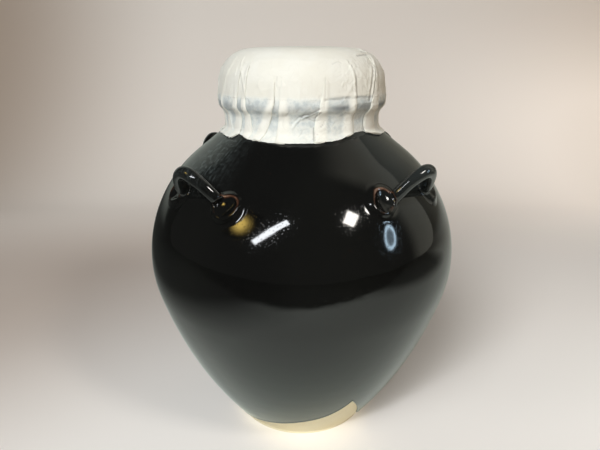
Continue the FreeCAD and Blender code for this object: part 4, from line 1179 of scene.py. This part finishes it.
paper = {
    "thickness": 0.13 * mm,
    "lift": 0.20 * mm,              # outside of a single layer above what it is pasted to
    "layer": 0.26 * mm,             # from one layer of a pleat to the next
    "puff": 0.45 * mm,              # how far a pleat's top bulges, at most
    "ramp": 4.0 * mm,               # how softly a pleat rises on the side away from its fold
    "foldFull": 1.4 * mm,           # a pleat narrower than this fades out
    "pleatGrow": 9.0,               # mm below its start at which it is full
    "pleatLevels": (-310, -286, -258),      # mm down at which the turns of the pleats are given
    "plumpHeights": (292, 280),
    "topColumns": 7,
    "rampColumns": 6,
    "front": (-70, 86),             # turns between which the mesh is finer
    "frontColumn": 0.75 * mm,       # width of the mesh's columns between pleats
    "backColumn": 1.7 * mm,
    "outlineStep": 0.25 * mm,
    "poleRadius": 7 * mm,           # the crown's innermost ring
    "capStep": 0.65 * mm,
    "skirtStep": 0.5 * mm,
    "tuckRound": 10.0 * mm,         # the sheet bridges the hollow under the rim
    "flareRound": 4.5 * mm,         # and the one where neck meets shoulder
    "ease": 2.4 * mm,               # bends are eased over this length
    "wrinkle": 0.36 * mm,
    # turns of each pleat on the dome, at the rim and at the foot of the neck, its share of the fullness,
    # the side its fold is on (1 is right), how high up the dome it starts and how plump it is
    "pleats": [
        (-57, -66, -64, 0.6, -1, 318, 0.4), (-43, -46, -51, 1.0, 1, 314, 0.7),
        (-37, -38.5, -39.5, 0.9, 1, 317, 0.8), (-17, -18, -30, 0.9, 1, 306, 0.6),
        (-12.5, -12, -13.5, 1.0, -1, 304, 0.5), (15, 12.5, 11, 1.0, -1, 306, 0.5),
        (33.5, 34, 34.3, 1.1, 1, 314, 1.0), (60, 53, 57, 2.4, -1, 322.5, 1.4),
        (84, 85, 83, 1.2, 1, 312, 0.9), (103, 101, 104, 1.1, -1, 317, 0.5),
        (118, 121, 119, 1.4, 1, 308, 0.8), (141, 139, 137, 1.0, 1, 319, 0.6),
        (154, 156, 158, 1.5, -1, 311, 1.0), (176, 174, 179, 1.1, 1, 316, 0.4),
        (196, 198, 196, 1.4, 1, 306, 0.8), (217, 214, 211, 1.0, -1, 318, 0.5),
        (229, 231, 234, 1.2, 1, 313, 1.0), (250, 249, 246, 1.1, -1, 308, 0.6),
        (266, 268, 271, 1.3, 1, 317, 0.9), (283, 281, 284, 0.9, -1, 311, 0.5),
    ],
    # single creases: how far they stand up (mm), their width (mm), the side they fall away on, and their course
    # in turns and heights
    "creases": [
        (0.75, 1.0, 0, [(66, 322.4), (62, 319.3), (62.5, 315.8), (59.2, 311.2), (54.5, 304.3), (52.4, 297.3),
                        (50.1, 290.3), (49.1, 286.1)]),
        (-0.7, 0.6, 0, [(56.5, 309.9), (51.6, 300.9), (49.3, 292.5), (47.4, 286.9)]),
        (0.45, 0.7, 0, [(54, 310.5), (49.4, 300.9), (47.2, 292.5), (45.6, 287.5)]),
        (-0.8, 0.7, 0, [(45.7, 317.9), (55.9, 318.6), (64, 318.3)]),
        (0.6, 1.5, -1, [(45.7, 319.3), (55.9, 320.0), (64, 319.6)]),
        (-0.65, 0.5, 0, [(33.6, 312.7), (35.2, 309.7), (35.9, 305.6), (36, 298.8), (36.1, 290.2)]),
        (0.45, 1.1, 0, [(32, 314.2), (33.8, 309.7), (34.3, 305.6), (34.4, 298.8), (34.4, 290.2)]),
        (-0.22, 0.6, 0, [(14.4, 302.8), (14.1, 292), (13.2, 282.5)]),
        (-0.3, 0.5, 0, [(-15.3, 304.5), (-15.4, 296.8)]),
        (-0.35, 0.5, 0, [(-16.4, 291), (-17.9, 277.8)]),
        (-1.2, 0.55, 0, [(-0.4, 276.4), (1.2, 278.2), (4.6, 278.6), (10.4, 282.4)]),
        (0.55, 0.8, 0, [(0.2, 275.2), (2.0, 276.9), (4.9, 277.3), (10.8, 281.1)]),
        (-0.8, 0.5, 0, [(2.8, 276), (6.1, 277.6), (9.6, 279.9)]),
        (-0.8, 0.5, 0, [(8.8, 276.3), (11.2, 280.1)]),
        (0.4, 0.6, 0, [(7.6, 276.6), (9.8, 279.2)]),
        (-0.25, 0.5, 0, [(-5.5, 267.9), (-2.6, 271.7), (0, 275)]),
        (0.35, 0.8, 0, [(-6.8, 268.5), (-3.9, 272.2), (-1.4, 275)]),
        (0.35, 0.7, 0, [(-7.5, 264.8), (-4.6, 270)]),
        (-0.35, 0.6, 0, [(-3.6, 280.5), (-0.6, 283.4)]),
        (-0.35, 0.6, 0, [(-10.2, 277.4), (-7.2, 281.9)]),
        (0.22, 0.9, 0, [(-0.7, 300.8), (-1, 294.2), (-1.8, 289.5)]),
        (0.22, 1.2, 0, [(-31.8, 314.7), (-19.1, 316.1), (-2.7, 315.2), (6.6, 313.9)]),
        (0.2, 1.2, 0, [(14.1, 316.5), (31, 314.7)]),
        (-0.65, 0.5, 0, [(7.7, 268.8), (7.5, 259.8)]),
        (-0.35, 0.6, 0, [(4.6, 275.2), (7.9, 273.6), (11.2, 274.4)]),
        (-0.75, 0.5, 0, [(36.1, 278.5), (37.6, 263)]),
        (0.4, 0.8, 0, [(46.8, 276.5), (45.6, 266.2)]),
        (0.4, 0.9, 0, [(-80, 312.4), (-79, 301.6), (-74, 293.6)]),
        (0.4, 0.9, 0, [(-47.9, 317.6), (-45.7, 312.2), (-41, 304.1), (-37.9, 294.6), (-36.3, 288.4)]),
        (0.3, 0.9, 0, [(-48.7, 309.4), (-47.3, 297.6), (-46.1, 288.5)]),
        (0.45, 0.8, 0, [(-60.2, 280.6), (-61.7, 272.7), (-59.6, 265.3), (-55, 260.5)]),
        (0.3, 0.8, 0, [(-30.8, 262.6), (-24.8, 270.9), (-18.8, 277.8)]),
        (-0.3, 0.6, 0, [(20.1, 312.5), (25.1, 314.2), (27, 313.2)]),
        (0.25, 1.0, 0, [(26.3, 305.2), (29.6, 301), (30.8, 294.8)]),
        (0.25, 0.9, 0, [(40, 308.2), (44.1, 302.6), (45.4, 294.2)]),
        (-0.35, 0.8, 0, [(14, 288.4), (18, 289.3), (23, 288.8), (28, 289.7), (34, 289.2), (40, 290),
                         (49.5, 289.4)]),
    ],
    # short creases strewn about: how many, between which turns and heights, how long (mm), how far off
    # upright (degrees), how far they stand up and how wide they are (mm)
    "strewn": [
        (16, -12, 14, 262, 284, 4.5, 38, -0.30, 0.55), (16, -60, -14, 262, 284, 4.0, 25, 0.28, 0.6),
        (18, 15, 62, 262, 284, 4.0, -15, -0.25, 0.6), (26, 22, 66, 288, 317, 4.5, 20, 0.24, 0.7),
        (24, -70, 66, 280, 290, 3.5, 10, -0.26, 0.55), (14, -60, 25, 289, 302, 5.0, 8, 0.16, 0.8),
        (60, 70, 285, 259, 290, 5.0, 18, -0.28, 0.9), (50, 70, 285, 290, 318, 6.0, 15, 0.24, 1.1),
    ],
    # turn and height of the torn lower edge
    "tear": [(-103, 257.8), (-92, 258.6), (-80, 259.0), (-68.7, 259.1), (-59.7, 258.6), (-52.1, 258.1),
             (-49.9, 259.5), (-49.2, 261.6), (-44.9, 261.3), (-37.1, 259.6), (-32.2, 258.7), (-30.8, 259.4),
             (-28.5, 258.8), (-21.3, 258.4), (-9.6, 258.3), (0.3, 258.5), (7.1, 258.6), (12.6, 258.8),
             (17.5, 259.2), (22.8, 259.8), (29, 260.9), (36.4, 262.5), (37.9, 263.3), (41.6, 263.5),
             (47.5, 264.1), (50.7, 262.3), (55.8, 260.4), (62.9, 259.0), (71.2, 258.6), (76.9, 258.7),
             (92, 258.2), (106, 258.9), (117, 261.4), (131, 259.2), (146, 257.4), (160, 262.6),
             (173, 260.2), (190, 258.1), (204, 259.3), (219, 263.2), (229, 259.6), (243, 257.2)],
    "fray": [(3, 170, 0.30 * mm), (4, 420, 0.16 * mm)],     # seed, waves round and size of its raggedness
    "slip": 0.7 * mm,               # how unevenly the layers of a pleat end there
    "curl": 0.9 * mm,               # its corners at the sides stand off the glaze this far,
    "curlTurns": [(-58, 8.0), (64, 10.0)],      # round these turns and this wide (degrees),
    "curlHeights": (262.5, 258.5),  # from the first height down to the second (mm)
    # crumples: seed, waves round, length and size; and sharp ridges: seed, waves round, length and width
    "rough": [(11, 46, 9 * mm, 1.0), (12, 110, 3.2 * mm, 0.6)],
    "ridges": (13, 38, 7 * mm, 0.16),
    "calmCrown": 55 * mm,           # they fade towards the middle of the crown from this far out
    # where the sheet is worn, lies over glaze, and is grey in the hollow under the rim (partly painted shade)
    # and along the joint (painted shade): steps along turn (degrees) and height (mm)
    "wornLeast": 0.22,
    "wornRight": [("turn", 18, 36), ("height", 320, 312)],
    "wornLow": [("height", 292, 286)],
    "wornLeft": [("turn", -75, -100), ("height", 320, 312)],
    "overHeights": [("height", 291.6, 286.6)],
    "overEnd": [("height", 272, 261)],
    "stripeShadeRight": [("turn", 12, 24), ("turn", 110, 70)],
    "lineShadeTurns": [("turn", 14, 20), ("turn", 56, 48)],
    "creaseSeed": 21,
    "dentDepth": 0.45 * mm,         # how deep a crease is before its painted shade begins
    "creaseShadeShare": 0.62,
    # the grey stripe under the bead, partly the dark gap showing through and partly painted shade, and the
    # joint's line of painted shade: height and width in mm
    "stripeHeight": 282.7,
    "stripeWide": 2.3,
    "lineHeight": 289.4,
    "lineWide": 0.9,
    "cream": (0.75, 0.745, 0.675),      # over the lid and the rim
    "pasteColour": (0.71, 0.69, 0.60),  # in clouds of paste
    "doubledPaintedBright": (0.87, 0.865, 0.785),    # where pleats lie over glaze, paler than the cap's cream as painted light on the neck
    "overGlaze": (0.60, 0.65, 0.64),    # a single layer over glaze
    "overDark": (0.43, 0.475, 0.48),    # and its blots
    "overGapShade": (0.15, 0.165, 0.17),     # over the hollow under the rim, the gap showing through with painted shade, and on the joint's line
    "veinShadeColour": (0.40, 0.37, 0.31),   # painted shade along thin wandering creases where it is worn
    "creaseShadeColour": (0.27, 0.26, 0.24),   # painted shade in sharp creases
}


def softNoise(share, rise, seed, cells):
    # smooth noise from -1 to 1 that closes on itself as share goes from 0 to 1
    rows = 61                           # after which it repeats along rise
    grid = np.random.default_rng(seed).uniform(-1.0, 1.0, (cells, rows))
    x, y = share * cells, rise
    column, row = np.floor(x).astype(int), np.floor(y).astype(int)
    u, v = x - column, y - row
    u, v = u * u * (3 - 2 * u), v * v * (3 - 2 * v)
    low, high = (grid[column % cells, level % rows] * (1 - u) + grid[(column + 1) % cells, level % rows] * u
                 for level in (row, row + 1))
    return low * (1 - v) + high * v


def skirtRuns():
    lift, tuck, flare, rim = paper["lift"], paper["tuckRound"], paper["flareRound"], jar["rimZ"]
    bead, neck = jar["rimBead"] + lift, jar["neckRadius"] + lift
    tuckX, flareX, edge = neck + tuck, neck + flare, jar["neckRadius"] + bead
    tuckZ = rim - math.sqrt((bead + tuck) ** 2 - (tuckX - jar["neckRadius"]) ** 2)
    leave = math.atan2(tuckZ - rim, tuckX - jar["neckRadius"])
    outX, outZ = math.cos(jar["leave"]), math.sin(jar["leave"])
    coneX, coneZ = jar["coneStart"][0] + lift * outX, jar["coneStart"][1] + lift * outZ
    flareZ = coneZ + (flare - (flareX - coneX) * outX) / outZ
    return [
        lineRun((edge, jar["top"] + lid["seatGap"]), (edge, rim)),
        arcRun((jar["neckRadius"], rim), bead, 0.0, leave),
        arcRun((tuckX, tuckZ), tuck, leave + math.pi, math.pi, hollow=True),
        lineRun((neck, tuckZ), (neck, flareZ)),
        arcRun((flareX, flareZ), flare, -math.pi, jar["leave"] - math.pi, hollow=True),
        lineRun((flareX - flare * outX, flareZ - flare * outZ), (coneX, coneZ)),
    ]


def eased(outline, along):
    # the outline with its bends spread over a short length, and the way it faces
    count = int(round(paper["ease"] / (along[1] - along[0])))
    even = np.linspace(0.0, along[-1], len(along))
    smooth = np.stack([np.interp(even, along, line) for line in outline.T], 1)
    weights = np.hanning(2 * count + 3)[1:-1]
    padded = np.concatenate([2 * smooth[0] - smooth[count:0:-1], smooth,
                             2 * smooth[-1] - smooth[-2:-count - 2:-1]])
    smooth = np.stack([np.convolve(line, weights / weights.sum(), "valid") for line in padded.T], 1)
    run = np.gradient(smooth, axis=0)
    run /= np.linalg.norm(run, axis=1)[:, None]
    return smooth, np.stack([-run[:, 1], run[:, 0]], 1), distances(smooth)


def paperColumns(plan, middle, half, fold, radius, plump):
    # turn, rise, layers and slip of every column of each row: gap, ramp up, top, fold back under, fold forward
    side = plan[:, 4]
    left, right = middle - half, middle + half
    room = left - np.roll(right, 1, 1)
    room[:, 0] += 2 * math.pi
    free = np.where(side > 0, room, np.roll(room, -1, 1))
    ease = np.minimum(np.minimum(paper["ramp"] / radius[:, None], 5 * half), 0.4 * free)
    before = np.roll(right + np.where(side < 0, ease, 0.0), 1, 1)
    before[:, 0] -= 2 * math.pi
    after = left - np.where(side > 0, ease, 0.0)
    ramp = np.linspace(0.0, 1.0, paper["rampColumns"] + 1)[:-1]
    top = np.linspace(0.0, 1.0, paper["topColumns"])
    back = np.array([0.97, 0.5, 0.03])
    climb = smoothStep(ramp, 0.0, 1.0)
    slip = np.concatenate([0 * ramp, 0 * top, [-0.3], [-0.6] * 3, [0.1], [0.5] * 3])
    single = np.concatenate([climb, np.ones(len(top) + 8)])
    columns = []
    for k in range(len(plan)):
        apart = math.radians((plan[k, 1] - plan[k - 1, 1]) % 360) * jar["neckRadius"]
        inFront = paper["front"][0] < plan[k, 1] < paper["front"][1]
        count = max(6, round(apart / paper["frontColumn" if inFront else "backColumn"]))
        gap = before[:, k:k + 1] + (after - before)[:, k:k + 1] * (np.arange(count) / count)
        columns.append((gap, 0 * gap, 0 * gap, 0 * gap))
        wide, run, part = (right - left)[:, k:k + 1], ease[:, k:k + 1], fold[:, k:k + 1]
        high = paper["layer"] * part
        tight = 0.5 * high / radius[:, None]
        puff = paper["puff"] * plan[k, 6] * plump[:, None] * part
        # as read from the side away from the fold
        spots = np.concatenate([-(1 - ramp) * run, top * wide, wide + tight, back * wide, -tight,
                                (1 - back) * wide], 1)
        rise = np.concatenate([2 * high * climb, 2 * high + puff * np.sin(math.pi * top), 1.5 * high,
                               high + 0 * back, 0.5 * high, 0 * high + 0 * back], 1)
        layers, slips = single * part, slip + 0 * spots
        if side[k] > 0:
            columns.append((left[:, k:k + 1] + spots, rise, layers, slips))
        else:
            turns = right[:, k:k + 1] - spots
            columns.append([line[:, ::-1] for line in (turns, rise, layers, slips)])
    return [np.concatenate(part, 1) for part in zip(*columns)]


def nearFront(angle):
    # the same angle between a quarter turn left of the front and three quarters right of it
    return (angle + 0.5 * math.pi) % (2 * math.pi) - 0.5 * math.pi


def creaseCourses(downAt):
    luck = np.random.default_rng(paper["creaseSeed"])
    neck = jar["neckRadius"]
    courses = [(high, wide, fall, [(math.radians(a), downAt(z)) for a, z in course])
               for high, wide, fall, course in paper["creases"]]
    for count, first, last, low, top, length, slant, high, wide in paper["strewn"]:
        for _ in range(count):
            turn, rise = math.radians(luck.uniform(first, last)), luck.uniform(low, top)
            lean = math.radians(slant + luck.normal(0, 18))
            reach = 0.5 * length * luck.uniform(0.5, 1.5) * mm
            start, across = downAt(rise), reach * math.sin(lean) / neck
            bend = luck.normal(0, 0.25) * reach
            courses.append((high * luck.uniform(0.4, 1.2), wide, 0, [
                (turn - across, start + reach * math.cos(lean)), (turn + bend / neck, start),
                (turn + across, start - reach * math.cos(lean))]))
    return [(high, wide, fall, [(nearFront(a), s) for a, s in course]) for high, wide, fall, course in courses]


def creaseHeight(turns, radius, down, courses):
    # how far single creases stand up, at points given by turn, radius and distance from the sheet's middle
    total = np.zeros(turns.shape)
    angle = nearFront(turns)
    for high, wide, fall, course in courses:
        middle = np.mean(course, axis=0)
        span = np.ptp(np.array(course), axis=0)
        close = np.abs(angle - middle[0]) < span[0] / 2 + 0.12
        close &= np.abs(down - middle[1]) < span[1] / 2 + 5 * mm
        if not close.any():
            continue
        a, r, s = angle[close], radius[close], down[close]
        nearest, beside = np.full(a.shape, 1.0), np.zeros(a.shape)
        for (a0, s0), (a1, s1) in zip(course[:-1], course[1:]):
            x, y = (a - a0) * r, s - s0
            runX, runY = (a1 - a0) * r, s1 - s0
            length = runX ** 2 + runY ** 2
            share = np.clip((x * runX + y * runY) / length, 0.0, 1.0)
            apart = np.hypot(x - share * runX, y - share * runY)
            beside = np.where(apart < nearest, (x * runY - y * runX) / np.sqrt(length), beside)
            nearest = np.minimum(nearest, apart)
        shape = bell(nearest, wide * mm)
        if fall:
            shape = shape * (0.5 + 0.5 * np.tanh(fall * beside / (0.4 * mm)))
        total[close] += high * mm * shape
    return total


def paperFinish():
    finish = Finish("pastedPaper")
    layers, over, gap, worn, dent = (finish.mark(name) for name in ("layers", "over", "gap", "worn", "dent"))
    fibres = finish.noise(1300.0, 5.0, (1.0, 1.0, 0.5), 0.65)
    blots = finish.noise(240.0, 4.0, (1.0, 1.0, 1.0), 0.6)
    cloud = finish.noise(45.0, 2.0)
    web = finish.veins(95.0, 0.022)
    single = over * (1 - 0.92 * layers)
    patchy = finish.ramp(0.6 * blots + 0.5 * cloud, 0.42, 0.66, 0.5, 1.0)
    tone = finish.coats(
        paper["cream"],
        (finish.ramp(cloud, 0.35, 0.65, 0.0, 0.5), paper["pasteColour"]),
        # paler below the rim: pleats over glaze, with painted light on the neck
        (over, paper["doubledPaintedBright"]),
        (single * patchy, paper["overGlaze"]),
        (single * finish.ramp(blots + 0.3 * cloud, 0.62, 0.84, 0.0, 0.40), paper["overDark"]),
        # painted shade under the bead and along the joint, with the dark gap showing through
        (gap * (1 - 0.9 * layers), paper["overGapShade"]),
        # painted shade along the wandering creases where it is worn
        (worn * (0.22 - 0.22 * web), paper["veinShadeColour"]),
        (dent, paper["creaseShadeColour"]))
    weave = finish.bump(fibres, 0.35, 0.06 * mm)
    crinkled = finish.bump(finish.veins(260.0, 0.05) * worn, 0.35, 0.10 * mm,
                           finish.bump(web * worn, 0.5, 0.16 * mm, weave))
    finish.set(BaseColor=tone, Roughness=finish.ramp(fibres, 0.3, 0.7, 0.72, 0.86), SpecularIORLevel=0.3,
               Normal=finish.bump(blots, 0.40, 0.22 * mm, crinkled))
    return finish


def paperRows(isCap, outline, along, joint):
    # distance of each row along the outline, and each row's share of the way to the far edge
    first = paper["poleRadius"] if isCap else 0.0
    last = joint if isCap else np.interp(-min(z for _, z in paper["tear"]) * mm, -outline[:, 1], along)
    share = np.linspace(0.0, 1.0, int(round((last - first) / paper["capStep" if isCap else "skirtStep"])) + 1)
    return first + (last - first) * share, share


def torn(turns, outline, along, slip):
    # distance along the outline at which the skirt's edge is torn off
    knots, heights = np.array(paper["tear"], float).T
    first = knots[0]
    place = (np.degrees(turns) - first) % 360 + first
    height = np.interp(place, np.append(knots, first + 360), np.append(heights, heights[0]) * mm)
    share = turns / (2 * math.pi)
    fray = sum(softNoise(share, 0.0 * turns, seed, cells) * size for seed, cells, size in paper["fray"])
    return np.interp(-height, -outline[:, 1], along) + fray + slip * paper["slip"]


def faded(places, rows):
    # smooth steps multiplied together: the place that each follows, and its limits
    return math.prod(smoothStep(places[name], *limits) for name, *limits in rows)


def paperMarks(places, layers, creased, rough):
    # what the material reads
    z = places["height"]
    worn = paper["wornLeast"] + (1 - paper["wornLeast"]) * faded(places, paper["wornRight"])
    worn = np.maximum(worn, 0.5 * faded(places, paper["wornLow"]))
    worn = np.maximum(worn, 0.6 * faded(places, paper["wornLeft"]))
    over = faded(places, paper["overHeights"]) * (1 - 0.6 * faded(places, paper["overEnd"]))
    # a grey stripe under the bead, partly the gap showing through, partly painted shade stronger on the right;
    # and painted shade along the joint on the right
    shadeStripe = bell(z - paper["stripeHeight"], paper["stripeWide"])
    shadeStripe = shadeStripe * (0.36 + 0.38 * faded(places, paper["stripeShadeRight"])) * (1 + 0.2 * rough)
    line = bell(z - paper["lineHeight"] - 0.5 * rough, paper["lineWide"])
    line = line * 0.5 * faded(places, paper["lineShadeTurns"])
    # painted shade in the deepest creases
    dent = np.clip(-creased / paper["dentDepth"] - 0.25, 0.0, 1.0) * paper["creaseShadeShare"]
    return {"layers": layers, "over": over, "gap": np.clip(shadeStripe + line, 0, 1), "worn": worn, "dent": dent}


def paperPoints(isCap, outline, facing, along, joint, courses):
    plan = np.array(paper["pleats"], float)
    reach, share = paperRows(isCap, outline, along, joint)
    rowRadius, level = (np.interp(reach, along, line) for line in outline.T)
    level = level / mm
    # the pleats take up what a round sheet has too much of
    spare = np.clip(math.pi * ((reach if isCap else reach + joint) - rowRadius), 0.0, None)
    starts = plan[:, 5]
    part = plan[:, 3] / plan[:, 3].sum() * smoothStep(level[:, None], starts, starts - paper["pleatGrow"])
    width = spare[:, None] * part / np.clip(part.sum(1, keepdims=True), 1e-9, None)
    fold = np.clip(width / paper["foldFull"], 0.0, 1.0)
    middle = np.radians(np.stack([np.interp(-level, paper["pleatLevels"], spots) for spots in plan[:, :3]], 1))
    plump = 0.35 + 0.65 * smoothStep(level, *paper["plumpHeights"])
    half = 0.5 * width / rowRadius[:, None]
    turns, rise, layers, slip = paperColumns(plan, middle, half, fold, rowRadius, plump)
    spot = np.tile(reach[:, None], (1, turns.shape[1]))
    if not isCap:
        pull = share[:, None] ** 1.3
        end = torn(turns, outline, along, slip)
        spot = np.clip(spot * (1 - pull) + end * share[:, None] * pull, 0.0, along[-1])
    radius, height, outX, outZ = (np.interp(spot, along, line) for line in (*outline.T, *facing.T))
    down = spot if isCap else spot + joint
    around = turns / (2 * math.pi)
    degrees = (np.degrees(turns) + 180) % 360 - 180
    places = {"turn": degrees, "height": height / mm}
    rough = sum(size * softNoise(around, down / length, seed, cells)
                for seed, cells, length, size in paper["rough"])
    seed, cells, length, wide = paper["ridges"]
    ridge = 1 - np.clip(np.abs(softNoise(around + down * 2.0, down / length, seed, cells)) / wide, 0, 1)
    creased = creaseHeight(turns, radius, down, courses)
    marks = paperMarks(places, layers, creased, rough)
    flat = np.clip(down / paper["calmCrown"], 0.1, 1.0) * (0.4 + 0.6 * marks["worn"])
    crumple = paper["wrinkle"] * flat * (0.45 * rough + 0.8 * ridge ** 2)
    curl = sum(bell(degrees - turn, wide) for turn, wide in paper["curlTurns"])
    curl = paper["curl"] * curl * smoothStep(places["height"], *paper["curlHeights"])
    lifted = rise + np.clip(crumple + creased, -0.15 * mm - 0.6 * rise, None) + curl
    return turned(radius + lifted * outX, height + lifted * outZ, turns), marks, down[-1].max()


def makePaperPiece(name, points, marks, body, node, isCap):
    rows, columns = points.shape[:2]
    faces = gridFaces(rows, columns).tolist()
    points = points.reshape(-1, 3)
    if isCap:                           # its middle is closed by a fan of faces
        pole = [[0.0, 0.0, float(points[:columns, 2].mean())]]
        faces += [[rows * columns, (ring + 1) % columns, ring] for ring in range(columns)]
        points = np.concatenate([points, pole])
        marks = {key: np.append(value, value[0].mean()) for key, value in marks.items()}
    marks = {key: value.ravel() for key, value in marks.items()}
    piece = makePiece(name, points, faces, pastedPaper, body, [node], marks)
    work = bmesh.new()
    work.from_mesh(piece.data)
    bmesh.ops.remove_doubles(work, verts=work.verts, dist=0.004 * mm)
    for edge in work.edges:
        edge.smooth = not edge.is_boundary      # so the cut stays crisp
    if isCap:
        bmesh.ops.reverse_faces(work, faces=work.faces)
    work.to_mesh(piece.data)
    work.free()
    print(name, "area", round(sum(face.area for face in piece.data.polygons), 5), len(piece.data.vertices))
    solid = piece.modifiers.new("thickness", "SOLIDIFY")
    solid.thickness = paper["thickness"]
    solid.offset = -1.0
    return piece


def makePaper():
    dome, domeFacing, domeAlong = walk(domeRuns(paper["lift"]), paper["outlineStep"])
    # read from the crown downwards
    dome, domeFacing, domeAlong = dome[::-1], domeFacing[::-1], domeAlong[-1] - domeAlong[::-1]
    skirt, _, skirtAlong = walk(skirtRuns(), paper["outlineStep"])
    skirt, skirtFacing, skirtAlong = eased(skirt, skirtAlong)
    joint = domeAlong[-1]
    heights = np.concatenate([dome[:, 1], skirt[:, 1]])
    downs = np.concatenate([domeAlong, skirtAlong + joint])
    courses = creaseCourses(lambda height: float(np.interp(-height * mm, -heights, downs)))
    for name, outline, facing, along, body, node, held, under in (
            ("paperCap", dome, domeFacing, domeAlong, "lid", "paper_cap", "stretched", "wooden_lid"),
            ("paperSkirt", skirt, skirtFacing, skirtAlong, "jar", "paper_skirt", "gathered", "black_glaze")):
        isCap = name == "paperCap"
        points, marks, reach = paperPoints(isCap, outline, facing, along, joint, courses)
        piece = makePaperPiece(name, points, marks, body, node, isCap)
        inner = 0.0 if isCap else joint
        2 * reach
        2 * reach
        math.pi * (reach ** 2 - inner ** 2)


pastedPaper = paperFinish()
makePaper()
print("paper made")
